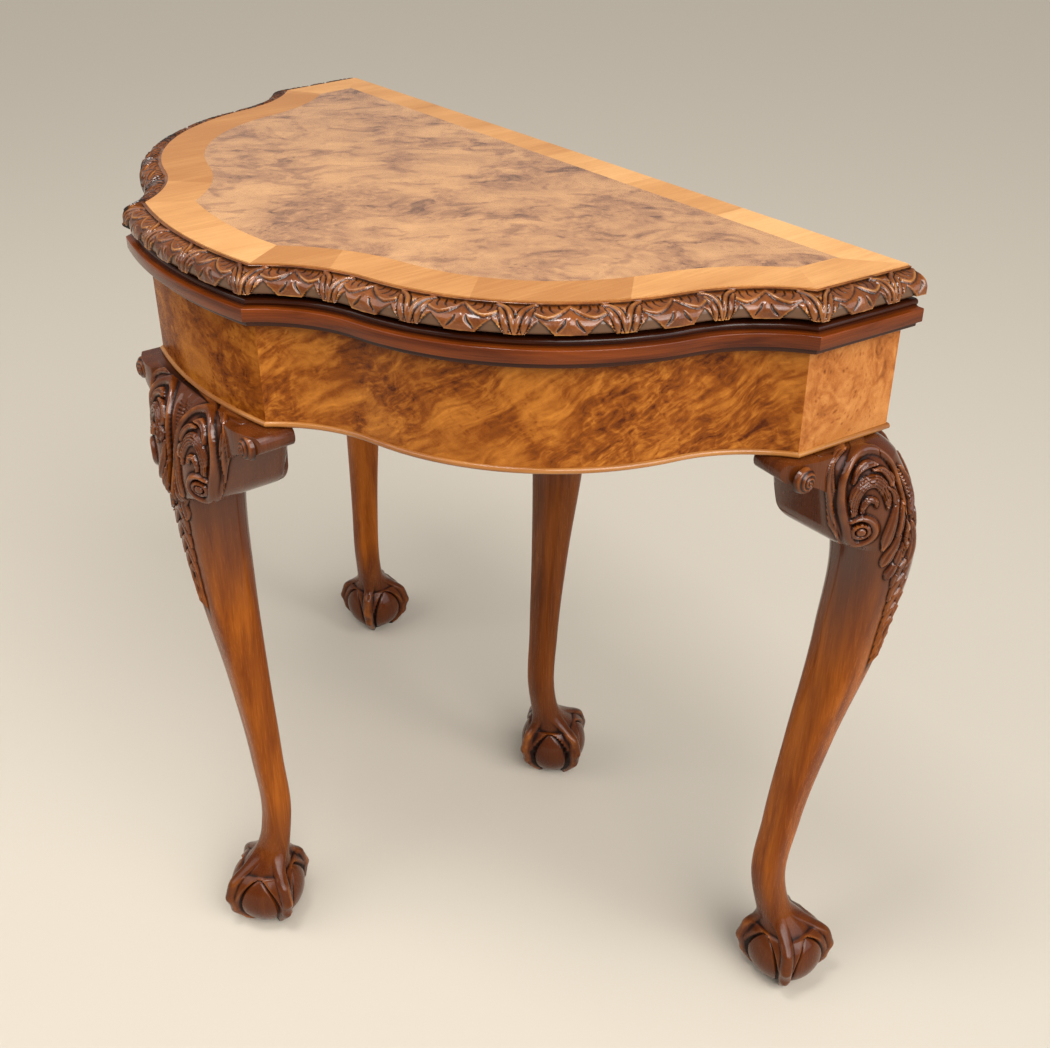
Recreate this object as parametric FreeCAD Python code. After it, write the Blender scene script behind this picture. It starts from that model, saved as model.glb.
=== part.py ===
import FreeCAD, Part
import math
import os
from FreeCAD import Vector

# Fold-over card table of demilune plan: serpentine sides, cabriole legs with ball-and-claw feet.
# Millimetres, +Z up, front towards -Y; sizes are set out from the middle of the straight back edge.

# Plan of the veneered top
top_height = 740.0
back_half = 392.0          # half the straight back edge
end_splay = 8.0            # the end faces come in by this towards the front
end_depth = 92.0           # depth of the end faces
bow_half = 94.0            # serpentine meets front bow: half width
bow_depth = 385.0          # and depth
bow_rise = 10.8            # rise of the front bow over its chord
serpentine_turn = 31.6     # degrees, slope where the side changes from hollow to round
serpentine_exit = 9.7      # degrees, slope of the hollow where it meets a corner
hollow_ratio = 0.62        # radius of the hollows over the radius of the swell

# The two leaves and their coverings
upper_thick = 22.8
lower_thick = 21.6
leaf_gap = 0.4
veneer = 1.0
crossband = 39.0
back_band = 31.0
inner_border = 46.0
edge_proud = 19.0          # moulded edges stand out from the veneered top
nose_up = 3.6              # carved edge: its nose above the joint of the leaves
nose_flat = 6.0
ovolo_steps = 3
fillet_wide = 2.5
bead_proud = 11.5          # bead on top of the lower edge
bead_fall = 3.0
step_proud = 14.0          # step under the lower edge
step_high = 5.4
fascia_high = 10.5

# Frieze, bead and back
frieze_proud = 2.75
frieze_thick = 22.0
frieze_high = 84.2
bead_high = 5.0
bead_nose = 2.6
bead_deep = 12.0
rail_thick = 21.0
back_set = 1.5

# Sliding frame of the rear leg
frame_half = 148.0
bearer_thick = 22.0
bearer_up = 11.0           # bearers end this far above the frieze's lower edge
ledge_wide = 20.0
ledge_thick = 12.0
frame_rail = 21.0
frame_gap = 0.6            # beside the frame
slide_clear = 0.4          # under it, and under the open leaf
frame_end_clear = 5.0      # before the frieze and the front stile
stop_clear = 5.5           # between the rear stile and the stop rail
tie_wide = 20.0
tie_thick = 14.0
stop_half = 50.0

# Cabriole legs
knee_drop = 91.0           # fullest part of the knee below its top
ankle_height = 125.0
ankle_run = 45.0           # the ankle keeps its thickness over this height
stile = 50.0
stile_drop = 26.0          # stile carried down into the knee
corner_foot_in = 6.0       # foot centres: from the ends of the back edge
corner_foot_front = 25.5   # and from the back edge
front_foot_out = 1.9       # before the front bow
rear_foot_front = 13.7
corner_ankle_set = -23.0   # ankle and knee centres from the foot centre, along the way the leg faces
corner_knee_set = 27.0
plain_ankle_set = -18.5
plain_knee_set = 8.0
corner_ankle = 14.8        # half thickness at ankle and knee
corner_knee = 31.5
plain_ankle = 13.4
plain_knee = 28.5
corner_knee_back = 28.5    # the top of the knee falls back by this
plain_knee_back = 25.5
knee_draw = 3.6            # and draws in by this
corner_square = 2.8        # how square the knee is in section: 2 is round
plain_square = 3.8
stem_sides = 12
swell_power = 1.45
sweep_power = 1.06

# Ball-and-claw feet
ball_radius = 38.0
ball_flat = 2.0
instep_low = 56.0          # the stem grows out of the claws between these heights
instep_high = 100.0
instep_half = 32.0
claw_knuckle = 34.0        # height where the claws reach out furthest
claw_reach = 42.0
claw_rise = 46.0           # from there up to the ankle
claw_fall = 34.0           # and down to the talon
claw_start = 14.0          # degrees from upright, at the ankle
claw_end = 140.0           # and at the talon
claw_root = 9.4
claw_tip = 5.1
claw_taper = 1.5
claw_steps = 4
claw_sides = 5

# Knee brackets
ear_reach = 111.0
ear_block = 58.0
ear_high = 84.0
ear_roll_high = 16.0
ear_round = 5.0            # at the end of the roll
ear_shoulder_drop = 44.0
ear_cove = 6.0             # hollow between roll and block
ear_corner = 21.0          # radius of the block's lower corner
ear_neck = 6.0             # splay where the block narrows to the roll
ear_flat = 4.0
ear_scroll = 89.0
ear_back = 46.0
ear_roll_back = 28.0
ear_front = 36.0
ear_roll_front = -2.0      # of the frieze face, at the end of the roll
ear_scroll_front = 12.0    # and at its small volute

# Brass butt hinges
hinge_at = 235.0
hinge_half = 32.0
hinge_plate = 2.4
hinge_drop = 17.0
knuckle_radius = 3.6
knuckle_half = 10.8
pin_radius = 1.5
pin_clear = 0.06
pin_behind = 1.6
turn_clear = 0.3

UP = Vector(0, 0, 1)
joint_high = top_height - upper_thick
pin_high = joint_high - leaf_gap / 2
leaf_under = joint_high - leaf_gap - lower_thick
frieze_bottom = leaf_under - frieze_high
knee_top = frieze_bottom - bead_high
knee_height = knee_top - knee_drop
stile_foot = knee_top - stile_drop
ear_bottom = knee_top - ear_high
bearer_low = frieze_bottom + bearer_up
ledge_top = bearer_low + ledge_thick
upper_core_low = joint_high + veneer
upper_core_high = top_height - veneer
lower_face = joint_high - leaf_gap
lower_core_high = lower_face - veneer
frame_top = pin_high - upper_thick - slide_clear
frame_low = ledge_top + slide_clear
far = 4 * back_half
nodes = {}


def turned(angle):
    return Vector(math.cos(angle), math.sin(angle), 0)


def right_of(direction):
    return Vector(direction.y, -direction.x, 0)


def run(start, finish):
    """Straight piece of the plan outline, outside on its right."""
    return {"start": start, "way": (finish - start).normalize(), "long": (finish - start).Length}


def bend(centre, start, finish, swells):
    """Circular piece of the plan outline: swells outwards, or is hollow."""
    first = math.atan2(start.y - centre.y, start.x - centre.x)
    last = math.atan2(finish.y - centre.y, finish.x - centre.x)
    turn = (last - first + math.pi) % (2 * math.pi) - math.pi
    radius = (start - centre).Length
    return {"centre": centre, "first": first, "turn": turn, "radius": radius, "side": 1 if swells else -1}


def heading(piece, at_end):
    """Direction of travel at one end of a piece of outline."""
    if "way" in piece:
        return piece["way"]
    angle = piece["first"] + (piece["turn"] if at_end else 0)
    return turned(angle + math.copysign(math.pi / 2, piece["turn"]))


def wire(points, place):
    """Closed wire: a pair is a straight run to that point, four numbers an arc through the first two."""
    edges = []
    here = place(*points[-1][-2:])
    for point in points:
        there = place(*point[-2:])
        if len(point) == 4:
            edges.append(Part.Arc(here, place(*point[:2]), there).toShape())
        else:
            edges.append(Part.makeLine(here, there))
        here = there
    return Part.Wire(edges)


def swept(side, profile, spare):
    """Profile of offset and height carried along one side of the plan, running over at both ends."""
    solids = []
    for index, piece in enumerate(side):
        lead = spare if index == 0 else 0
        tail = spare if index == len(side) - 1 else 0
        if "way" in piece:
            start = piece["start"] - piece["way"] * lead
            out = right_of(piece["way"])
            face = Part.Face(wire(profile, lambda o, z: start + out * o + UP * z))
            solids.append(face.extrude(piece["way"] * (piece["long"] + lead + tail)))
            continue
        hand = math.copysign(1, piece["turn"])
        first = piece["first"] - hand * lead / piece["radius"]
        turn = piece["turn"] + hand * (lead + tail) / piece["radius"]
        begin = first if hand > 0 else first + turn
        spoke = turned(begin)
        centre, radius, sign = piece["centre"], piece["radius"], piece["side"]
        face = Part.Face(wire(profile, lambda o, z: centre + spoke * (radius + sign * o) + UP * z))
        solids.append(face.revolve(centre, UP, math.degrees(abs(turn))))
    return joined(solids)


def joined(solids):
    if len(solids) == 1:
        return solids[0]
    return solids[0].multiFuse(solids[1:]).removeSplitter()


def beyond(corner, out, away):
    """Block filling everything past a mitre through a corner."""
    square = right_of(out)
    if square.dot(away) < 0:
        square = square * -1
    reach = back_half / 2
    low = corner - out * reach
    points = [low, low + out * (2 * reach), low + out * (2 * reach) + square * reach, low + square * reach]
    return Part.Face(Part.makePolygon(points + [low])).extrude(UP * far)


def length_of(side, profile, first_cut, last_cut):
    """One mitred length of moulding, veneer or board along a side of the plan."""
    solid = swept(side, profile, 2 * frieze_thick)
    begins = heading(side[0], False)
    ends = heading(side[-1], True)
    solid = solid.cut(beyond(first_cut[0], first_cut[1], begins * -1))
    return solid.cut(beyond(last_cut[0], last_cut[1], ends))


def band(inner, outer, low, high):
    return [(inner, low), (outer, low), (outer, high), (inner, high)]


def mirrored(shape):
    return shape.mirror(Vector(0, 0, 0), Vector(1, 0, 0))


def block(x0, x1, y0, y1, z0, z1):
    return Part.makeBox(x1 - x0, y1 - y0, z1 - z0, Vector(x0, y0, z0))


def biggest(shape):
    return max(shape.Solids, key=lambda solid: solid.Volume)


# Plan outline, travelled from the front left break round to the back
front_left = Vector(-bow_half, -bow_depth, 0)
front_right = Vector(bow_half, -bow_depth, 0)
end_break = Vector(back_half - end_splay, -end_depth, 0)
back_right = Vector(back_half, 0, 0)
back_left = Vector(-back_half, 0, 0)

bow_radius = (bow_half ** 2 + bow_rise ** 2) / (2 * bow_rise)
bow_centre = Vector(0, bow_radius - bow_depth - bow_rise, 0)
front_side = [bend(bow_centre, front_left, front_right, True)]

chord = end_break - front_right
half_chord = chord.Length / 2
along = chord * (1 / chord.Length)
outward = right_of(along)
middle = (front_right + end_break) * 0.5
turn_angle = math.radians(serpentine_turn)
exit_angle = math.radians(serpentine_exit)
swell = half_chord / (math.sin(turn_angle) + hollow_ratio * (math.sin(turn_angle) + math.sin(exit_angle)))
hollow = swell * hollow_ratio
bulge = swell * (1 - math.cos(turn_angle)) + hollow * (math.cos(exit_angle) - math.cos(turn_angle))


def on_chord(distance, rise):
    return middle + along * distance + outward * rise


swell_centre = on_chord(0, bulge - swell)
hollow_along = half_chord - hollow * math.sin(exit_angle)
hollow_out = hollow * math.cos(exit_angle)
change_along = swell * math.sin(turn_angle)
change_out = bulge - swell * (1 - math.cos(turn_angle))
serpentine_side = [
    bend(on_chord(-hollow_along, hollow_out), front_right, on_chord(-change_along, change_out), False),
    bend(swell_centre, on_chord(-change_along, change_out), on_chord(change_along, change_out), True),
    bend(on_chord(hollow_along, hollow_out), on_chord(change_along, change_out), end_break, False),
]
end_side = [run(end_break, back_right)]
back_side = [run(back_right, back_left)]


def mitre(corner, before, after):
    out = right_of(heading(before[-1], True)) + right_of(heading(after[0], False))
    return corner, out.normalize()


front_right_cut = mitre(front_right, front_side, serpentine_side)
front_left_cut = (front_left, Vector(-front_right_cut[1].x, front_right_cut[1].y, 0))
break_cut = mitre(end_break, serpentine_side, end_side)
square_cut = (back_right, Vector(1, 0, 0))
band_cut = (back_right, Vector(crossband, back_band, 0).normalize())
band_cut_left = (back_left, Vector(-crossband, back_band, 0).normalize())


def round_the_front(name, profile, last_cut):
    """Five mitred lengths round the front, sides and ends, named for where they sit."""
    serpentine = length_of(serpentine_side, profile, front_right_cut, break_cut)
    end = length_of(end_side, profile, break_cut, last_cut)
    nodes[name + "_front"] = length_of(front_side, profile, front_left_cut, front_right_cut)
    nodes[name + "_serpentine_right"] = serpentine
    nodes[name + "_serpentine_left"] = mirrored(serpentine)
    nodes[name + "_end_right"] = end
    nodes[name + "_end_left"] = mirrored(end)


def board(low, high):
    """Full plan of the veneered top between two heights."""
    half = []
    for piece in serpentine_side:
        spots = [piece["first"] + piece["turn"] * part for part in (0, 0.5, 1)]
        half.append(Part.Arc(*[piece["centre"] + turned(spot) * piece["radius"] for spot in spots]).toShape())
    half.append(Part.makeLine(end_break, back_right))
    edges = [Part.Arc(front_left, Vector(0, -bow_depth - bow_rise, 0), front_right).toShape()]
    edges += half + [mirrored(edge) for edge in half] + [Part.makeLine(back_right, back_left)]
    outline = Part.Wire(Part.__sortEdges__(edges))
    solid = Part.Face(outline).extrude(UP * (high - low))
    solid.translate(UP * low)
    return solid


# Upper leaf: ground board, burr panel and crossbanding above, baize and border on the playing face
nodes["upper_leaf_board"] = board(upper_core_low, upper_core_high)
round_the_front("upper_crossband", band(-crossband, 0, upper_core_high, top_height), band_cut)
back_strip = band(-back_band, 0, upper_core_high, top_height)
nodes["upper_crossband_back"] = length_of(back_side, back_strip, band_cut, band_cut_left)
bands = [shape for name, shape in nodes.items() if "crossband" in name]
nodes["upper_burr_panel"] = biggest(board(upper_core_high, top_height).cut(joined(bands)))


def playing_face(prefix, low, high):
    """Baize let into a walnut border."""
    plain = band(-inner_border, 0, low, high)
    cut = (back_right, Vector(1, 1, 0).normalize())
    cut_left = (back_left, Vector(-1, 1, 0).normalize())
    serpentine = length_of(serpentine_side, plain, front_right_cut, break_cut)
    end = length_of(end_side, plain, break_cut, cut)
    strips = [length_of(front_side, plain, front_left_cut, front_right_cut), serpentine, end]
    strips += [mirrored(serpentine), mirrored(end), length_of(back_side, plain, cut, cut_left)]
    border = joined(strips)
    nodes[prefix + "_border"] = biggest(border)
    nodes[prefix + "_baize"] = biggest(board(low, high).cut(border))


playing_face("upper", joint_high, upper_core_low)

# Moulded edges, mitred at the breaks: ovolo for carving above, bead and fascia below
nose_low = joint_high + nose_up
nose_high = nose_low + nose_flat
shoulder = top_height - 2 * veneer
ovolo = [(0, joint_high), (bead_proud, joint_high), (edge_proud, nose_low)]
for step in range(ovolo_steps + 1):
    angle = math.pi / 2 * step / ovolo_steps
    out = fillet_wide + (edge_proud - fillet_wide) * math.cos(angle)
    ovolo.append((out, nose_high + (shoulder - nose_high) * math.sin(angle)))
ovolo += [(fillet_wide, upper_core_high), (0, upper_core_high)]
round_the_front("upper_edge", ovolo, square_cut)

fascia_low = leaf_under + step_high
fascia_top = fascia_low + fascia_high
bead_low = lower_face - bead_fall
lower_edge = [
    (0, leaf_under),
    (step_proud, leaf_under),
    (step_proud, fascia_low),
    (edge_proud, fascia_low),
    (edge_proud, fascia_top),
    (bead_proud, bead_low),
    (bead_proud, lower_face),
    (0, lower_face),
]
round_the_front("lower_edge", lower_edge, square_cut)
nodes["lower_leaf_board"] = board(leaf_under, lower_core_high)
playing_face("lower", lower_core_high, lower_face)

# Frieze boards and the bead under them
frieze_cut = (Vector(back_half, -back_set, 0), Vector(1, 0, 0))
inside_frieze = frieze_proud - frieze_thick
round_the_front("frieze", band(inside_frieze, frieze_proud, frieze_bottom, leaf_under), frieze_cut)
bead = [
    (frieze_proud - bead_deep, knee_top),
    (frieze_proud, knee_top),
    (frieze_proud + bead_nose, knee_top + bead_high / 2),
    (frieze_proud, frieze_bottom),
    (frieze_proud - bead_deep, frieze_bottom),
]
round_the_front("bead", bead, frieze_cut)
frieze_shell = joined([nodes[name] for name in nodes if name.startswith(("frieze", "bead"))])


# Cabriole legs: a bent and swelling stem between square stile and clawed ball
def stem_section(centre, half, square, high):
    """Many-sided section as the spokeshave leaves it, round or rounded square to the table's axes."""
    points = []
    for step in range(stem_sides + 1):
        angle = 2 * math.pi * (step + 0.5) / stem_sides
        cosine = math.cos(angle)
        sine = math.sin(angle)
        x = math.copysign(abs(cosine) ** (2 / square), cosine)
        y = math.copysign(abs(sine) ** (2 / square), sine)
        points.append(centre + Vector(x * half, y * half, high))
    return Part.makePolygon(points)


def cabriole(foot, facing, ankle_set, knee_set, ankle, knee, knee_back, square):
    """Stem from the ball to the knee top: an S in the plane it faces, thinnest at the ankle."""
    sections = []
    foot_steps = 2
    for step in range(foot_steps):
        part = step / foot_steps
        fall = (1 - math.cos(math.pi * part)) / 2
        high = instep_low + (instep_high - instep_low) * part
        half = instep_half + (ankle - instep_half) * fall
        sections.append(stem_section(foot + facing * (ankle_set * fall), half, 2, high))
    stem_steps = 8
    rise_high = knee_height - ankle_height
    for step in range(stem_steps + 1):
        part = step / stem_steps
        rise = (1 - math.cos(math.pi * part ** sweep_power)) / 2
        high = ankle_height + rise_high * part
        grown = max(0, (rise_high * part - ankle_run) / (rise_high - ankle_run))
        half = ankle + (knee - ankle) * grown ** swell_power
        centre = foot + facing * (ankle_set + (knee_set - ankle_set) * rise)
        sections.append(stem_section(centre, half, 2 + (square - 2) * part ** 4, high))
    knee_steps = 3
    for step in range(1, knee_steps + 1):
        part = step / knee_steps
        fall = 1 - math.cos(math.pi / 2 * part)
        high = knee_height + knee_drop * part
        centre = foot + facing * (knee_set - knee_back * fall)
        sections.append(stem_section(centre, knee - knee_draw * part, square, high))
    return Part.makeLoft(sections, True, True)


def claw(foot, way):
    """One toe gripping the ball, from the ankle over the knuckle to the talon."""
    spots = []
    radii = []
    for step in range(claw_steps + 1):
        part = step / claw_steps
        angle = math.radians(claw_start + (claw_end - claw_start) * part)
        rise = claw_rise if math.cos(angle) > 0 else claw_fall
        high = claw_knuckle + rise * math.cos(angle)
        spots.append(foot + way * (claw_reach * math.sin(angle)) + UP * high)
        radii.append(claw_root + (claw_tip - claw_root) * part ** claw_taper)
    across = right_of(way)
    rings = []
    for index, spot in enumerate(spots):
        before = spots[max(0, index - 1)]
        after = spots[min(len(spots) - 1, index + 1)]
        above = (after - before).normalize().cross(across)
        ring = []
        for side in range(claw_sides + 1):
            angle = 2 * math.pi * side / claw_sides
            ring.append(spot + (across * math.cos(angle) + above * math.sin(angle)) * radii[index])
        rings.append(Part.makePolygon(ring))
    return Part.makeLoft(rings, True, True)


def leg(foot, facing, sets, halves, stile_box):
    """Whole leg in one piece: stile, knee, stem and foot, with its sole on the floor."""
    ball = Part.makeSphere(ball_radius, foot + UP * (ball_radius - ball_flat))
    claws = [claw(foot, way) for way in (facing, facing * -1, right_of(facing), right_of(facing) * -1)]
    stem = cabriole(foot, facing, *sets, *halves)
    whole = stem.multiFuse([ball] + claws + [stile_box])
    floor = block(-far, far, -far, far, -far, 0)
    return biggest(whole.cut(floor).removeSplitter())


corner_sets = (corner_ankle_set, corner_knee_set)
plain_sets = (plain_ankle_set, plain_knee_set)
corner_halves = (corner_ankle, corner_knee, corner_knee_back, corner_square)
plain_halves = (plain_ankle, plain_knee, plain_knee_back, plain_square)

front_inner = bow_depth + bow_rise + inside_frieze
front_stile = block(-stile / 2, stile / 2, -front_inner, stile - front_inner, stile_foot, leaf_under)
front_foot = Vector(0, -bow_depth - bow_rise - front_foot_out, 0)
front_leg = leg(front_foot, Vector(0, -1, 0), plain_sets, plain_halves,
                biggest(front_stile.cut(frieze_shell)))

end_inner = back_half + inside_frieze
corner_stile = block(end_inner - stile, end_inner, -back_set - rail_thick - stile,
                     -back_set - rail_thick, stile_foot, leaf_under)
corner_facing = Vector(1, 1, 0).normalize()
corner_foot = Vector(back_half - corner_foot_in, -corner_foot_front, 0)
corner_leg = leg(corner_foot, corner_facing, corner_sets, corner_halves,
                 biggest(corner_stile.cut(frieze_shell)))

rear_stile_back = -back_set - frame_rail
rear_stile = block(-stile / 2, stile / 2, rear_stile_back - stile, rear_stile_back, stile_foot, frame_top)
rear_leg = leg(Vector(0, -rear_foot_front, 0), Vector(0, 1, 0), plain_sets, plain_halves, rear_stile)

nodes["leg_front"] = front_leg
nodes["leg_right"] = corner_leg
nodes["leg_left"] = mirrored(corner_leg)
nodes["leg_rear"] = rear_leg


# Knee brackets, sawn to a two-step profile and rounded back to the frieze
def ear(origin, reach, out, knee):
    roll_end = Vector(ear_reach - ear_round, knee_top - ear_roll_high, 0)
    block_end = Vector(ear_block, knee_top - ear_shoulder_drop, 0)
    fall = (block_end - roll_end).normalize()
    cove = (roll_end + block_end) * 0.5 - right_of(fall) * -ear_cove
    corner_in = ear_corner * (1 - math.sqrt(0.5))
    front_profile = [
        (stile / 2, knee_top),
        (ear_reach - ear_round, knee_top),
        (ear_reach, knee_top - ear_roll_high / 2, roll_end.x, roll_end.y),
        (cove.x, cove.y, block_end.x, block_end.y),
        (ear_block, ear_bottom + ear_corner),
        (ear_block - corner_in, ear_bottom + corner_in, ear_block - ear_corner, ear_bottom),
        (stile / 2, ear_bottom),
    ]
    throat = ear_block + ear_neck
    past = ear_reach + ear_round
    plan = [
        (stile / 2, -ear_back),
        (ear_block, -ear_back),
        (throat, -ear_roll_back),
        (past, -ear_roll_back),
        (past, ear_roll_front),
        (ear_scroll, ear_scroll_front, throat, ear_scroll_front),
        (ear_block - ear_neck, ear_front - ear_neck, stile / 2 + ear_flat, ear_front),
        (stile / 2, ear_front),
    ]
    low = origin + UP * ear_bottom
    sawn = Part.Face(wire(front_profile, lambda t, z: origin + reach * t + UP * z - out * ear_back))
    sawn = sawn.extrude(out * (ear_back + ear_front))
    plate = Part.Face(wire(plan, lambda t, s: low + reach * t + out * s)).extrude(UP * (knee_top - ear_bottom))
    return biggest(sawn.common(plate).cut(knee))


front_spot = Vector(0, -bow_depth - bow_rise - frieze_proud, 0)
front_ear = ear(front_spot, Vector(1, 0, 0), Vector(0, -1, 0), front_leg)
corner_spot = Vector(back_half + frieze_proud, -back_set, 0)
end_ear = ear(corner_spot, end_side[0]["way"] * -1, right_of(end_side[0]["way"]), corner_leg)
back_ear = ear(corner_spot, Vector(-1, 0, 0), Vector(0, 1, 0), corner_leg).cut(end_ear)
nodes["ear_front_right"] = front_ear
nodes["ear_front_left"] = mirrored(front_ear)
nodes["ear_end_right"] = end_ear
nodes["ear_end_left"] = mirrored(end_ear)
nodes["ear_back_right"] = biggest(back_ear)
nodes["ear_back_left"] = mirrored(biggest(back_ear))

# Back rails and the bearers that carry the sliding frame
rail_front = -back_set - rail_thick
bearer_in = frame_half + frame_gap
bearer_out = bearer_in + bearer_thick
back_rail = block(bearer_out, far, rail_front, -back_set, frieze_bottom, leaf_under)
back_rail = back_rail.cut(block(end_inner - stile, far, -far, far, 0, far).cut(
    block(0, end_inner, rail_front, 0, 0, far)))
nodes["back_rail_right"] = biggest(back_rail.cut(frieze_shell))
nodes["back_rail_left"] = mirrored(nodes["back_rail_right"])
bearer_section = [
    (bearer_in - ledge_wide, bearer_low),
    (bearer_out, bearer_low),
    (bearer_out, leaf_under),
    (bearer_in, leaf_under),
    (bearer_in, ledge_top),
    (bearer_in - ledge_wide, ledge_top),
]
bearer = Part.Face(wire(bearer_section, lambda x, z: Vector(x, rail_front, z)))
bearer = bearer.extrude(Vector(0, -bow_depth, 0))
nodes["slide_bearer_right"] = biggest(bearer.cut(frieze_shell))
nodes["slide_bearer_left"] = mirrored(nodes["slide_bearer_right"])
tie_back = -rear_stile_back + stile + stop_clear
nodes["slide_stop_rail"] = block(-bearer_out, bearer_out, -tie_back - tie_wide, -tie_back,
                                 bearer_low - tie_thick, bearer_low)

# Sliding frame: two sides, back rail behind the leg, cross tie with its stop at the front
inside_face = block(frame_half - frame_rail, frame_half, -far, rail_front, frame_low, frame_top)
frieze_line = inside_face.common(frieze_shell).BoundBox.YMax
frame_front = min(front_inner - stile, -frieze_line) - frame_end_clear
side_rail = block(frame_half - frame_rail, frame_half, -frame_front, rail_front, frame_low, frame_top)
nodes["frame_side_right"] = side_rail
nodes["frame_side_left"] = mirrored(side_rail)
nodes["frame_back_rail"] = block(-bearer_out + frame_gap, bearer_out - frame_gap, rail_front, -back_set,
                                 frieze_bottom, frame_top)
tie_end = frame_half - frame_rail
cross_tie = block(-tie_end, tie_end, -frame_front, -frame_front + frame_rail, frame_low, frame_top)
stop = block(-stop_half, stop_half, -frame_front, -frame_front + frame_rail,
             bearer_low - tie_thick, frame_low)
nodes["frame_cross_tie"] = cross_tie.fuse(stop).removeSplitter()


# Brass butt hinges let into the back edges, pinned just behind them
def rod(x0, x1, radius):
    return Part.makeCylinder(radius, x1 - x0, Vector(x0, pin_behind, pin_high), Vector(1, 0, 0))


hinge_ends = hinge_half - knuckle_half - turn_clear
plate_edge = knuckle_radius + turn_clear


def leaf_plate(x0, x1, low, high):
    return block(x0, x1, -hinge_plate, 0, pin_high + low, pin_high + high)


for hand, name in ((1, "right"), (-1, "left")):
    centre_x = hand * hinge_at
    low_x = centre_x - hinge_half
    high_x = centre_x + hinge_half
    fixed = [rod(low_x, high_x, pin_radius)]
    for x0, x1 in ((low_x, low_x + hinge_ends), (high_x - hinge_ends, high_x)):
        fixed += [rod(x0, x1, knuckle_radius), leaf_plate(x0, x1, -plate_edge, -leaf_gap)]
    plate = leaf_plate(low_x, high_x, -hinge_drop, -plate_edge)
    nodes["hinge_fixed_" + name] = biggest(plate.multiFuse(fixed).removeSplitter())
    x0, x1 = centre_x - knuckle_half, centre_x + knuckle_half
    swung = [rod(x0, x1, knuckle_radius), leaf_plate(x0, x1, leaf_gap, plate_edge)]
    plate = leaf_plate(low_x, high_x, plate_edge, hinge_drop).multiFuse(swung)
    plate = plate.cut(rod(low_x, high_x, pin_radius + pin_clear))
    nodes["hinge_leaf_" + name] = biggest(plate.removeSplitter())
    mortise = leaf_plate(low_x, high_x, -hinge_drop, hinge_drop)
    for part in ("upper_leaf_board", "upper_border", "lower_leaf_board", "lower_border"):
        nodes[part] = biggest(nodes[part].cut(mortise))

# Bring the foot of the table to the middle of the floor plan
boxes = [shape.optimalBoundingBox(False) for shape in nodes.values()]
middle_y = (min(box.YMin for box in boxes) + max(box.YMax for box in boxes)) / 2
os.makedirs("parts", exist_ok=True)
for name, shape in nodes.items():
    shape.translate(Vector(0, -middle_y, 0))
    shape.exportStep("parts/" + name + ".step")
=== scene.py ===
import math

import bpy
import numpy as np
from mathutils import Matrix, Vector


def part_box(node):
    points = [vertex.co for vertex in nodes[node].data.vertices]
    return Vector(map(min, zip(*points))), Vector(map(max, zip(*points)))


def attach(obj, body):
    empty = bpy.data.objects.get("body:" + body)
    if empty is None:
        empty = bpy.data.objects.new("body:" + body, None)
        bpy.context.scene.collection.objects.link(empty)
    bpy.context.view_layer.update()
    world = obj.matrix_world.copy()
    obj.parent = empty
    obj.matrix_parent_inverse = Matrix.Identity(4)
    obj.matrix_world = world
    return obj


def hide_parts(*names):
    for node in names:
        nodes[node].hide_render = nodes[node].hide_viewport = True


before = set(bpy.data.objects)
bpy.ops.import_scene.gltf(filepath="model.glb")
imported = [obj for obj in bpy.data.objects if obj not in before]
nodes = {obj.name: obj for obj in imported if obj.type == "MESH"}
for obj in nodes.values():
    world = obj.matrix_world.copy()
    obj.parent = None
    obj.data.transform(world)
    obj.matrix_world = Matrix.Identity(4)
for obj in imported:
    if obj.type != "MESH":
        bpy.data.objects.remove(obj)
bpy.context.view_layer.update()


# Carcass: back rails, bearers, stop rail, leaf boards and the sliding frame behind the burr frieze.
# Planed straight-grained timber, glued and screwed together and left without polish.
class Value:
    """A number on its way through a finish; arithmetic on it adds the nodes that work it out."""

    def __init__(self, finish, socket):
        self.finish = finish
        self.socket = socket

    def math(self, operation, first, second):
        return self.finish.node("ShaderNodeMath", {"operation": operation}, {0: first, 1: second})

    def __add__(self, other):
        return self.math("ADD", self, other)

    def __sub__(self, other):
        return self.math("SUBTRACT", self, other)

    def __rsub__(self, other):
        return self.math("SUBTRACT", other, self)

    def __mul__(self, other):
        return self.math("MULTIPLY", self, other)

    __radd__ = __add__
    __rmul__ = __mul__


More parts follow.
